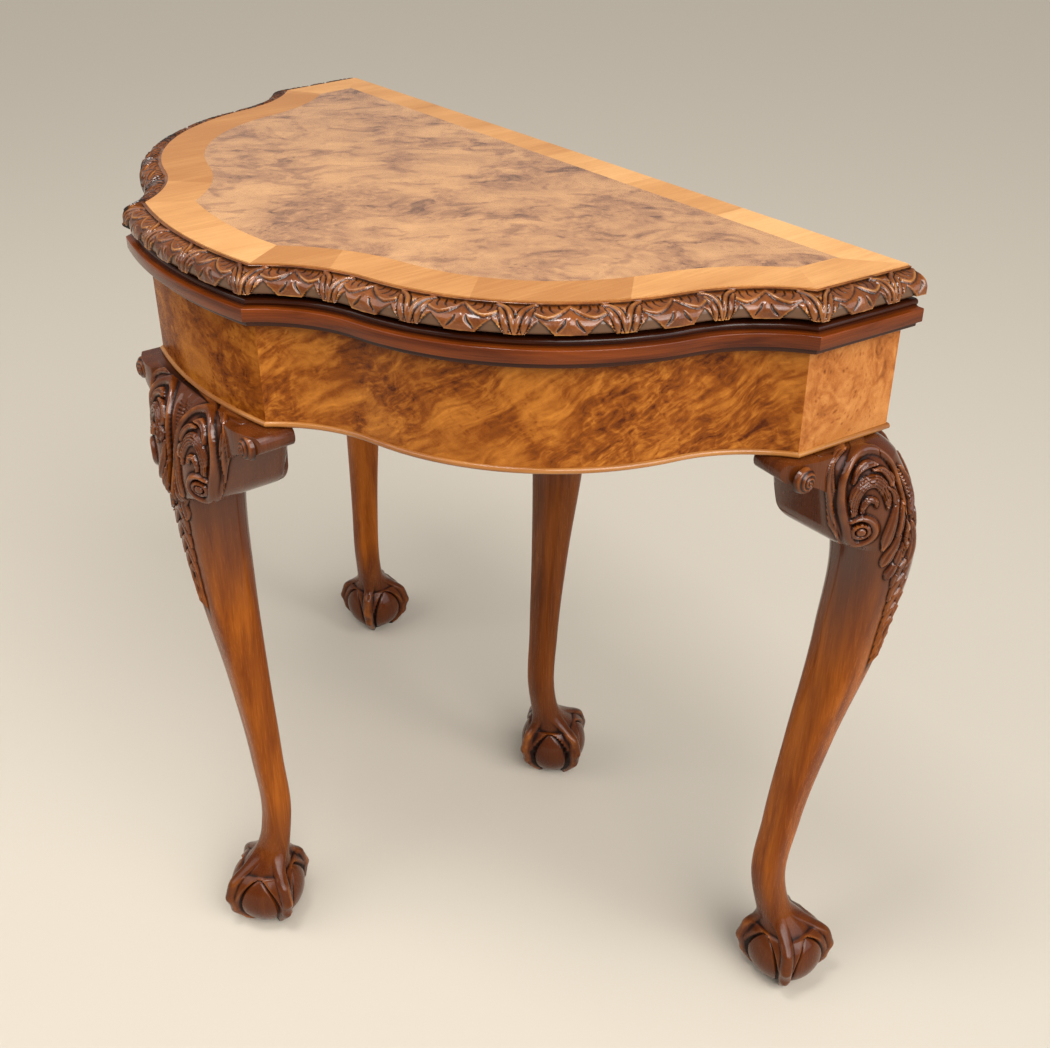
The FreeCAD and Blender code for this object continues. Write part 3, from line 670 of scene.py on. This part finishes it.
def cabriole(name, foot, facing, style, columns, carved):
    """One leg on its foot, drawn round a wrapped grid from the floor to the bead."""
    fine = np.linspace(knee_low, knee_top, 2000)
    climb = np.concatenate([[0], np.cumsum(np.hypot(np.diff(fine), np.diff(style.face(fine))))])
    knee_rows = np.interp(np.linspace(0, climb[-1], 178), climb, fine)
    foot_rows = np.linspace(0, ankle_high, 100)
    stem_rows = np.linspace(ankle_high, knee_low, 44)
    heights = np.concatenate([foot_rows, stem_rows[1:], knee_rows[1:]])
    turns = spaced_turns(style, columns)
    turn, height = np.meshgrid(turns, heights)
    spread = style.radius(turn, height)
    side = np.array((-facing[1], facing[0]))
    ahead = style.pole(height) + spread * np.cos(turn)
    across = spread * np.sin(turn)
    flat = np.array(foot) + ahead[..., None] * facing + across[..., None] * side
    piece = draped(name, np.concatenate([flat, height[..., None]], 2) * mm)
    relief = np.zeros(turn.shape)
    if carved:
        along = -ahead * math.sin(style.turn) + np.abs(across) * math.cos(style.turn)
        out = ahead * math.cos(style.turn) + np.abs(across) * math.sin(style.turn)
        spots = np.stack([along + style.shift, height], 2)
        cut = (height > carving_low) & (out > style.rim(np.maximum(height, scroll_low)) - 2.5)
        relief[cut] = scroll(spots[cut], style.turn > 0)
        if style.turn == 0:
            wedge = np.clip(1 - np.abs(across) / (1 + 0.32 * np.clip(height - wedge_low, 0, None)), 0, 1)
            hatch = 1.0 + 0.13 * np.sin(2 * math.pi * height / 3.0)
            deep = np.clip((height - wedge_low) / 30, 0, 1) * np.clip((knee_top - height) / 14, 0.2, 1)
            relief -= deep * np.minimum(wedge * 3, 1) * hatch * (np.cos(turn) > 0)
    # The creases of the feet are noted as hollows too, where the finish paints shade.
    hollow = hollowness(relief) + np.where(height < claws_high, hollowness(spread) / 5, 0)
    raise_carving(piece, relief, hollow, knee_depth, 0.0)
    close_up(piece, math.radians(45))
    return piece


def add_stile(piece, node):
    """The square post over the knee, standing behind the frieze."""
    above_knee = (knee_top + 34) * mm
    high = [corner.co for corner in nodes[node].data.vertices if corner.co.z > above_knee]
    low = Vector([min(corner[axis] for corner in high) for axis in range(3)])
    top = Vector([max(corner[axis] for corner in high) for axis in range(3)])
    low.z = (knee_top - 20) * mm
    bpy.ops.mesh.primitive_cube_add(size=1.0)
    post = bpy.context.object
    post.data.transform(Matrix.LocRotScale((low + top) / 2, None, top - low))
    piece.select_set(True)
    bpy.context.view_layer.objects.active = piece
    bpy.ops.object.join()


def own_copy(piece, name):
    """A copy of a piece, with a mesh of its own."""
    copy = piece.copy()
    copy.data = piece.data.copy()
    copy.name = name
    bpy.context.collection.objects.link(copy)
    return copy


leg_stain = (0.055, 0.0100, 0.0012, 1.0)
stain_knee = (390 * mm, 500 * mm)
stain_foot = (150 * mm, 70 * mm)


def carved_wood(name, deep, dark, light, rubbed_highlight, along, coat=0.15, stained=False, ground=None):
    """Stained and polished solid wood: dark with painted shade in the cuts of its carving, worn bright on the
    tips and painted with a highlight there.
    """
    wood = Finish(name, coat=coat)
    hollow = wood.node("ShaderNodeAttribute", {"attribute_name": "hollow"}, {}, 2)
    rings = wood.noise(wood.grain(along, 5, 60), 1.0, 4.0, 0.6)
    pores = wood.noise(wood.grain(along, 30, 800), 1.0, 2.0)
    wear_and_glint = wood.noise(wood.place, 70.0, 3.0)
    tone = wood.ramp(wood.spread(rings * 0.8 + pores * 0.2, 0.38, 0.62), [(0.0, dark), (1.0, light)])
    dull = wood.spread(hollow, 0.0, 0.3) * 0.25
    if stained:
        high = wood.node("ShaderNodeSeparateXYZ", {}, {0: wood.place}, 2)
        knee = wood.spread(high, *stain_knee)
        foot = wood.spread(high, *stain_foot)
        tone = wood.blend((knee + foot) * 0.86, tone, leg_stain)
        wood.set("Coat Weight", coat + (knee * 0.75 + foot * 0.25) * wood.spread(hollow, 0.15, 0.0))
    if ground:
        relief = wood.node("ShaderNodeAttribute", {"attribute_name": "relief"}, {}, 2)
        sunk = wood.spread(relief, 0.22, 0.14)
        tone = wood.blend(sunk, tone, (*ground, 1.0))
        dull = dull + sunk * 0.3
    # Painted highlight: the convex tips, broken up by noise, are blended toward the rubbed colour, partly
    # wear and partly a painted highlight.
    tips = wood.spread(hollow, -0.05, -0.3) * wood.spread(wear_and_glint, 0.35, 0.65) * 0.75
    tone = wood.blend(tips, tone, (*rubbed_highlight, 1.0))
    # Painted shade: the hollows of the carving are blended toward the deep colour.
    tone = wood.blend(wood.spread(hollow, 0.01, 0.2) * 0.95, tone, (*deep, 1.0))
    wood.set("Base Color", tone)
    wood.set("Roughness", 0.2 + pores * 0.12 + dull)
    wood.bump(pores, 0.00004)
    return wood


# The deepest colour is painted shade for the cuts and creases; the rubbed colour is wear with a painted
# highlight on the tips.
leg_hollow_shade = (0.006, 0.001, 0.0003)
leg_rubbed_highlight = (0.30, 0.090, 0.016)
leg_wood = carved_wood("leg_wood", leg_hollow_shade, (0.150, 0.030, 0.001), (0.31, 0.080, 0.005),
                       leg_rubbed_highlight, "z", coat=0.05, stained=True)
# The rear leg takes a darker copy of the leg wood: painted shade, as it stands under the table.
rear_leg_painted_shade_wood = carved_wood("rear_leg_wood", leg_hollow_shade, (0.095, 0.020, 0.001), (0.20, 0.050, 0.004),
                         leg_rubbed_highlight, "z", coat=0.05, stained=True)
for wood in (leg_wood, rear_leg_painted_shade_wood):
    wood.set("Specular IOR Level", 0.12)
rear_foot = (0.0, 192.0)
front_foot = (0.0, -192.0)
corner_foot = (386.0, 180.2)
slant = math.sqrt(0.5)
front_leg = cabriole("cabriole_front", front_foot, np.array((0.0, -1.0)), front_style, 250, True)
right_leg = cabriole("cabriole_right", corner_foot, np.array((slant, slant)), corner_style, 250, True)
rear_leg = cabriole("cabriole_rear", rear_foot, np.array((0.0, 1.0)), rear_style, 160, False)
add_stile(front_leg, "leg_front")
add_stile(right_leg, "leg_right")
add_stile(rear_leg, "leg_rear")
left_leg = own_copy(right_leg, "cabriole_left")
left_leg.data.transform(Matrix.Diagonal((-1, 1, 1, 1)))
left_leg.data.flip_normals()
stand_for(front_leg, "carcass", "leg_walnut", leg_wood, "leg_front")
stand_for(right_leg, "carcass", "leg_walnut", leg_wood, "leg_right")
stand_for(left_leg, "carcass", "leg_walnut", leg_wood, "leg_left")
stand_for(rear_leg, "leg_frame", "leg_walnut", rear_leg_painted_shade_wood, "leg_rear")


# Ears: brackets glued beside each carved knee, sawn to a shouldered outline and rounded at the end.
# Each one is carved from the same wood as the leg, with a small fluted volute turning over at its tip.
def ear(node, place, origin, reach, out, limit):
    """One bracket, tucked in behind the scroll of its leg, with its arrises taken off."""
    bpy.ops.object.select_all(action="DESELECT")
    block = own_copy(nodes[node], node.replace("ear", "bracket"))
    block.parent = None
    block.select_set(True)
    bpy.context.view_layer.objects.active = block
    bpy.ops.object.mode_set(mode="EDIT")
    bpy.ops.mesh.select_all(action="SELECT")
    bpy.ops.mesh.remove_doubles(threshold=0.0002)
    bpy.ops.mesh.dissolve_limited(angle_limit=math.radians(3))
    bpy.ops.mesh.normals_make_consistent(inside=False)
    bpy.ops.object.mode_set(mode="OBJECT")
    for corner in block.data.vertices:
        along = (corner.co - origin).dot(reach)
        if along < ear_throat:
            if place == "front":
                under_scroll = front_style.span(corner.co.z / mm) * mm - 1.5 * mm
                corner.co -= reach * max(0.0, along - under_scroll)
            corner.co -= out * max(0.0, (corner.co - origin).dot(out) - limit)
            corner.co.z = max(corner.co.z, (scroll_low + 4) * mm)
        corner.co.z = min(corner.co.z, (knee_top - 0.5) * mm)
    bevel = block.modifiers.new("arris", "BEVEL")
    bevel.width = 2.0 * mm
    bevel.segments = 3
    bevel.angle_limit = math.radians(35)
    bpy.ops.object.modifier_apply(modifier=bevel.name)
    bpy.ops.object.shade_smooth_by_angle(angle=math.radians(50))
    return block


def volute(name, centre, reach, out):
    """A little rolled leaf: ridges that wind round an eye, bulging out from the face of the bracket."""
    turn, part = np.meshgrid(np.linspace(0, 2 * math.pi, 73), np.linspace(0.02, 1, 23))
    radius = volute_radius * part * (1 + 0.16 * np.cos(turn - 0.9))
    ridges = 0.5 + 0.5 * np.cos(2 * math.pi * (part * 3.4 - turn / (2 * math.pi)))
    cut = 1.1 * mm * (ridges - 0.5) * np.clip(4 - 4 * part, 0, 1)
    high = volute_high * np.sqrt(np.clip(1 - part ** 3, 0, 1)) + cut - 2 * mm
    flat = np.array(centre) + (radius * np.cos(turn))[..., None] * np.array(reach)
    upright = (radius * np.sin(turn))[..., None] * np.array((0, 0, 1.0))
    roll = draped(name, flat + upright + high[..., None] * np.array(out))
    # The grooves between the ridges are noted as hollows, where the finish paints shade; the ridge crests get
    # a painted highlight along with the wear.
    note_carving(roll, ridges, (0.5 - ridges) * 0.45)
    close_up(roll, math.radians(60))
    return roll


ear_wood = carved_wood("ear_wood", leg_hollow_shade, (0.060, 0.0125, 0.002), (0.115, 0.028, 0.005),
                       leg_rubbed_highlight, "z", coat=0.3)
front_ear = (0, -192.9 * mm)
end_ear = (392.4 * mm, 204.4 * mm)
back_ear = (394.7 * mm, 204.2 * mm)
ear_face = 4.5 * mm
back_ear_face = -12 * mm
ear_throat = 66 * mm
ear_from_middle = 97 * mm
volute_radius = 10.5 * mm
volute_high = 7.5 * mm
volute_middle = 593.0 * mm
volute_face = 8.0 * mm
for side, sign in (("left", -1), ("right", 1)):
    across = Vector((sign, 0, 0))
    ahead = Vector((0, 1, 0))
    places = {"front": (Vector((sign * front_ear[0], front_ear[1], 0)), across, -ahead, ear_face),
              "end": (Vector((sign * end_ear[0], end_ear[1], 0)), -ahead, across, ear_face),
              "back": (Vector((sign * back_ear[0], back_ear[1], 0)), -across, ahead, back_ear_face)}
    for place, (origin, reach, out, limit) in places.items():
        node = "ear_" + place + "_" + side
        stand_for(ear(node, place, origin, reach, out, limit), "carcass", "leg_walnut", ear_wood, node)
        centre = origin + reach * ear_from_middle + out * volute_face + Vector((0, 0, volute_middle))
        roll = volute("volute_" + place + "_" + side, centre, reach, out)
        roll.data.materials.append(ear_wood.material)
        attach(roll, "carcass")


# Edge of the fixed leaf: a run of bead, fillet and plain fascia with a small step under it.
# Solid dark wood, worked with moulding planes in five lengths, mitred at the breaks and polished;
# the bead and the step are darkened nearly black with painted shade.
edge_wood = straight_grain("edge_wood", (0.060, 0.0095, 0.001), (0.190, 0.0380, 0.004), "run", 0.1, 0.16)
# Painted shade: the bead under the carved nose and the step under the fascia are blended nearly black.
edge_painted_shade = (0.016, 0.003, 0.001, 1.0)
round_profile = edge_wood.node("ShaderNodeSeparateXYZ", {}, {0: edge_wood.place}, 0)
bead_painted_shade = edge_wood.spread(round_profile, 39.5 * mm, 43.0 * mm)
step_painted_shade = edge_wood.spread(round_profile, 25.0 * mm, 23.5 * mm)
edge_wood.set("Base Color", edge_wood.blend((bead_painted_shade + step_painted_shade) * 0.8, edge_wood.tone, edge_painted_shade))
leaf_under = 695.2
lower_face = 716.8
edge_back = -2.0
step_round = half_round((12.8, leaf_under + 1.2), 1.2, -90, 0, 4)
fascia_foot = half_round((18.4, leaf_under + 6.0), 0.6, -90, 0, 3)
fascia_head = half_round((18.2, leaf_under + 15.1), 0.8, 0, 90, 4)
top_bead = half_round((10.3, lower_face - 2.75), 2.75, -50, 90, 10)
lower_profile = [(edge_back, leaf_under), *step_round, (14.0, leaf_under + 5.4), *fascia_foot, *fascia_head,
                 (13.6, leaf_under + 15.9), *top_bead, (edge_back, lower_face)]
for run in runs:
    strip = sweep("leaf_moulding_" + run, run, lower_profile, 5 * mm)[0]
    close_up(strip, math.radians(35))
    stand_for(strip, "carcass", "moulded_walnut", edge_wood, "lower_edge_" + run)


# Crossbanding: short pieces of golden veneer, glued down with their grain across the band and polished.
# It frames the burr panel in mitred lengths, and forms the border of each playing face.
pieces_per_metre = 9.0


def crossbanding(name, turn, tone_shift):
    """Veneer laid with its grain across the band, in short pieces that differ a little in tone."""
    band = Finish(name, coat=0.12)
    place = band.turned(turn, (1.0, 1.0, 1.0))
    along = band.node("ShaderNodeSeparateXYZ", {}, {0: place}, 0)
    piece = band.node("ShaderNodeMath", {"operation": "FLOOR"}, {0: along * pieces_per_metre})
    pieces = band.node("ShaderNodeTexWhiteNoise", {"noise_dimensions": "1D"}, {"W": piece})
    grain = band.noise(band.turned(turn, (420.0, 14.0, 14.0)), 1.0, 5.0, 0.3)
    pores = band.noise(band.turned(turn, (1500.0, 90.0, 90.0)), 1.0, 2.0)
    broad = band.noise(band.turned(turn, (22.0, 8.0, 8.0)), 1.0, 3.0)
    figure = grain * 0.30 + broad * 0.40 + pieces * 0.24 + (tone_shift + 0.03)
    tone = band.ramp(band.spread(figure, 0.28, 0.72),
                     [(0.0, (0.42, 0.175, 0.050)), (0.5, (0.59, 0.285, 0.095)), (1.0, (0.74, 0.405, 0.155))])
    band.set("Base Color", band.blend(band.spread(pores, 0.55, 0.75) * 0.3, tone, (0.30, 0.11, 0.03, 1.0)))
    band.set("Roughness", 0.26 + pores * 0.12)
    band.bump(pores, 0.00005)
    return band


side_turn = math.radians(45.3)
front_band = crossbanding("crossband_front", 0.0, 0.05)
right_band = crossbanding("crossband_right", -side_turn, -0.12)
left_band = crossbanding("crossband_left", side_turn, -0.12)
end_band = crossbanding("crossband_end", math.radians(90.0), 0.12)
dress(front_band, "upper_crossband_front", "upper_crossband_back")
dress(right_band, "upper_crossband_serpentine_right")
dress(left_band, "upper_crossband_serpentine_left")
dress(end_band, "upper_crossband_end_left", "upper_crossband_end_right")
dress(front_band, "upper_border", "lower_border")


# Playing faces: green woollen baize, glued into the sunk middle of each leaf inside its border.
# The nap is short and felted over a fine weave, and worn a little lighter in places.
baize = Finish("green_baize", roughness=0.95)
baize_dark = (0.012, 0.07, 0.03)
baize_light = (0.035, 0.14, 0.06)
weave = baize.noise(baize.turned(0, (900.0, 900.0, 900.0)), 1.0, 3.0)
worn = baize.noise(baize.place, 9.0, 3.0)
baize.set("Base Color", baize.ramp(weave * 0.6 + worn * 0.4, [(0.3, baize_dark), (0.7, baize_light)]))
baize.bump(weave, 0.0004)
dress(baize, "upper_baize", "lower_baize")


# Burr panel of the top: one sheet of pale burr veneer with soft dark clouds and small eyes.
# It is glued to the board of the folding leaf inside the crossbanding, and french polished.
panel_tones = ((0.16, 0.074, 0.041), (0.365, 0.177, 0.086), (0.63, 0.335, 0.143))
panel_burr = burr("top_burr", panel_tones, turn=-0.9, streak=(13, 22, 15), flame=0.95, pips=0.9, shade=0.09,
                  blotches=0.32, coat=0.3)
dress(panel_burr, "upper_burr_panel")


# Carved edge of the folding leaf: an ovolo of dark wood cut with a running acanthus leaf.
# Each leaf hangs from the fillet between a pair of stems; the tips are worn bright with a painted highlight,
# the cuts hold painted shade, and the ground is matt.
def acanthus(spots):
    """Relief of half a hanging leaf, in millimetres from its middle and down from the fillet."""
    across, down = spots[:, 0], spots[:, 1]
    middle_low = 3.4
    lobe_low = 15.0
    lobe_wide = 14.5
    hem_wide = 1.8
    sunk = 0.1
    part = np.clip(across / lobe_wide, 0, 1)
    swag = middle_low + (lobe_low - middle_low) * np.sin(np.pi / 2 * part) ** 0.95
    hem = np.where(across < lobe_wide, swag, lobe_low - 5.5 * np.clip((across - lobe_wide) / 9, 0, 1) ** 1.6)
    above = hem - down
    rolled = np.sqrt(1 - (1 - np.clip(above / hem_wide, 0, 1)) ** 2)
    lobe = (0.50 + 0.50 * np.exp(-np.clip(above - hem_wide, 0, None) / 4.0)) * (0.60 + 0.40 * rolled)
    under = 0.34 + 0.46 * np.clip(-above / 11, 0, 1) + 0.14 * np.exp(-(across / 2.2) ** 2)
    relief = np.where(above > 0, lobe, under)
    for path in ([(6.8, 0.5), (6.2, 3.5), (4.4, 5.6)], [(12.4, 0.8), (12.0, 5.4), (9.4, 9.6)],
                 [(17.6, 1.2), (17.4, 6.0), (15.4, 10.8)], [(22.2, 2.5), (22.4, 5.8), (20.8, 9.2)]):
        relief = gouge(relief, spots, path, 1.0, 0.34, root=0.6, tip=1.2)
    gap_middle = 19.0
    slope = np.abs(across - gap_middle) / np.where(across < gap_middle, 9.5, 8.0) * 12.5
    relief = np.where((down > 15.2 + slope) & (above < 0), sunk, relief)
    relief = gouge(relief, spots, [(3.4, 16.0), (4.6, 20.0), (8.6, 25.6)], 1.3, 0.55, root=0.5)
    folded = [(23.0, 5.0), (25.6, 13.0), (27.2, 20.0), (28.4, 28.5)]
    fold = stroke(spots, folded, 2.3, root=0.7, tip=3)[0]
    relief = np.where(fold < 1.35, np.minimum(relief, 0.3), relief)
    relief = np.where(fold < 1, 0.35 + 0.5 * np.sqrt(np.clip(1 - fold ** 2, 0, 1)), relief)
    standing = [(21, -1), (27.5, 5), (31, 15), (32.6, 29)]
    stem = stroke(spots, standing, 1.9, root=0.9, belly=0.4, tip=5)[0]
    relief = np.where(stem < 1.5, np.minimum(relief, 0.3), relief)
    relief = np.where(stem < 1, 0.45 + 0.6 * np.sqrt(np.clip(1 - stem ** 2, 0, 1)), relief)
    return np.where(down > leaf_drop - 0.4, sunk, relief)


# The deepest colour is painted shade for the cuts; the rubbed colour is wear with a painted highlight on the
# tips.
edge_hollow_shade = (0.005, 0.0013, 0.0004)
edge_dark = (0.090, 0.021, 0.003)
edge_light = (0.200, 0.056, 0.009)
edge_rubbed_highlight = (0.58, 0.26, 0.06)
edge_ground = (0.110, 0.050, 0.022)
carved_edge = carved_wood("carved_edge", edge_hollow_shade, edge_dark, edge_light, edge_rubbed_highlight, "x",
                          coat=0.7, ground=edge_ground)
joint_high = 717.2
nose = 19.0
nose_low = 720.8
nose_high = 726.8
nose_round = 1.2
shoulder = 738.0
top_high = 739.0
carved_depth = 2.6
half_leaf = 33.0
leaf_drop = 28.0
fillet = 2.5
ovolo = [(fillet + (nose - fillet) * math.sin(a), nose_high + (shoulder - nose_high) * math.cos(a))
         for a in np.linspace(0, math.pi / 2, 26)]
nose_band = [(nose, high) for high in np.linspace(nose_high, nose_low + nose_round, 9)[1:]]
under_nose = half_round((nose - nose_round, nose_low + nose_round), nose_round, -30, -80, 3)
flat_top = [(edge_back, joint_high), (edge_back, top_high),
            (fillet - 0.3, top_high), (fillet, top_high - 0.3)]
carved_profile = [*flat_top, *ovolo, *nose_band, *under_nose, (11.5, joint_high)]
drawn_from = len(flat_top)
drawn_to = drawn_from + len(ovolo) + len(nose_band)
leaf_counts = {"front": 3.0, "serpentine": 6.0, "end": 1.5}
for run in runs:
    strip, girth, distance = sweep("carved_edge_" + run, run, carved_profile, 0.7 * mm)
    count = leaf_counts[run.split("_")[0]]
    along = distance / distance[-1] * count
    from_middle = np.abs(along % 1 - 0.5) * 2 * half_leaf
    down = (girth - girth[drawn_from]) / (girth[drawn_to] - girth[drawn_from]) * leaf_drop
    spots = np.stack(np.broadcast_arrays(from_middle[:, None], down[None, :]), 2).reshape(-1, 2)
    relief = acanthus(spots)
    drawn = np.zeros(len(girth), bool)
    drawn[drawn_from:-1] = True
    relief = np.where(drawn, relief.reshape(len(distance), -1), 1.0)
    raise_carving(strip, relief, hollowness(relief), carved_depth, 1.0)
    close_up(strip, math.radians(60))
    stand_for(strip, "folding_leaf", "carved_walnut", carved_edge, "upper_edge_" + run)


# Hinges: two brass butt hinges let flush into the back edges of the leaves, pinned just behind them.
# Each plate is held by three brass screws with slotted heads; all of it is dulled by age.
brass = Finish("aged_brass", roughness=0.35)
brass.set("Metallic", 1.0)
tarnish = brass.noise(brass.place, 120.0, 4.0)
brass.set("Base Color", brass.ramp(tarnish, [(0.35, (0.30, 0.19, 0.07)), (0.65, (0.62, 0.43, 0.17))]))
dress(brass, *["hinge_" + plate + "_" + side for plate in ("fixed", "leaf") for side in sides])

head_radius = 3.1 * mm
head_deep = 1.2 * mm
head_proud = 0.4 * mm
slot_wide = 0.8 * mm
screw_inset = 6.2 * mm
screw_spacing = 21.0 * mm
bpy.ops.object.select_all(action="DESELECT")
slot_size = (slot_wide, head_deep, head_radius * 3)
bpy.ops.mesh.primitive_cube_add(size=1.0, location=(0, head_proud, 0), scale=slot_size)
slot_cutter = bpy.context.object
head_middle = (0, head_proud - head_deep / 2, 0)
facing_back = (math.radians(90), 0, 0)
bpy.ops.mesh.primitive_cylinder_add(vertices=32, radius=head_radius, depth=head_deep,
                                    location=head_middle, rotation=facing_back)
screw = bpy.context.object
bpy.ops.object.transform_apply(location=True, rotation=True, scale=True)
rounding = screw.modifiers.new("rounding", "BEVEL")
rounding.width = 0.3 * mm
rounding.segments = 2
slot_cut = screw.modifiers.new("slot", "BOOLEAN")
slot_cut.object = slot_cutter
for step in ("rounding", "slot"):
    bpy.ops.object.modifier_apply(modifier=step)
bpy.data.objects.remove(slot_cutter)
screw.data.materials.append(brass.material)
back_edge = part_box("lower_leaf_board")[1].y
for plate, body in (("fixed", "carcass"), ("leaf", "folding_leaf")):
    for side in sides:
        low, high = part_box("hinge_" + plate + "_" + side)
        middle = (low.x + high.x) / 2
        level = low.z + screw_inset if plate == "fixed" else high.z - screw_inset
        for count in (-1, 0, 1):
            head = own_copy(screw, "hinge_screw_" + plate + "_" + side + "_" + str(count + 2))
            place = Matrix.Translation((middle + count * screw_spacing, back_edge, level))
            turned_home = 0.9 * count + 0.4 * len(plate + side)
            head.data.transform(place @ Matrix.Rotation(turned_home, 4, "Y"))
            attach(head, body)
bpy.data.objects.remove(screw)


# Studio: a plain pale floor, wide enough to run out of sight on every side.
# Soft light comes from all round, from four broad lamps and from a hazy sun at the right;
# the camera looks down on the table from beyond its right front corner.
floor_wide = 160.0
bpy.ops.object.select_all(action="DESELECT")
bpy.ops.mesh.primitive_plane_add(size=floor_wide)
floor = bpy.context.object
floor.name = "floor"
ground = Finish("pale_floor", roughness=0.9)
ground.set("Base Color", (0.57, 0.52, 0.44, 1.0))
floor.data.materials.append(ground.material)

scene = bpy.context.scene
scene.view_settings.view_transform = "Standard"
world = bpy.data.worlds.new("soft_room")
scene.world = world
world.use_nodes = True
room_light = world.node_tree.nodes["Background"].inputs
room_light["Color"].default_value = (0.97, 0.955, 0.94, 1.0)
room_light["Strength"].default_value = 0.30


def lamp(name, place, aim, size, power, colour):
    """A square lamp with a soft face, turned to its aim."""
    light = bpy.data.lights.new(name, "AREA")
    light.size = size
    light.energy = power
    light.color = colour
    holder = bpy.data.objects.new(name, light)
    holder.location = place
    holder.rotation_euler = (Vector(aim) - Vector(place)).to_track_quat("-Z", "Y").to_euler()
    scene.collection.objects.link(holder)


lamp("window", (2.0, -0.6, 2.0), (0.2, 0.0, 0.5), 1.3, 20.0, (1.0, 0.97, 0.93))
lamp("fill", (-0.6, -1.8, 2.2), (0.0, 0.0, 0.5), 2.0, 26.0, (1.0, 0.97, 0.94))
lamp("ceiling", (0.25, -0.65, 2.9), (0.2, -0.05, 0.7), 0.7, 28.0, (1.0, 0.98, 0.96))
lamp("far_window", (3.2, 1.1, 1.6), (0.4, 0.15, 0.6), 2.4, 36.0, (0.90, 0.94, 1.0))
daylight = bpy.data.lights.new("daylight", "SUN")
daylight.energy = 2.3
daylight.angle = math.radians(50)
daylight.color = (1.0, 0.97, 0.93)
sky = bpy.data.objects.new("daylight", daylight)
sky.rotation_euler = Vector((-1.8, 0.2, -1.7)).to_track_quat("-Z", "Y").to_euler()
scene.collection.objects.link(sky)

view = bpy.data.cameras.new("photo_view")
view.sensor_width = 36.0
view.lens = 45.36
camera = bpy.data.objects.new("photo_view", view)
camera.location = (0.96346, -0.58954, 1.07368)
camera.rotation_euler = (math.radians(59.281), 0.0, math.radians(52.529))
scene.collection.objects.link(camera)
scene.camera = camera
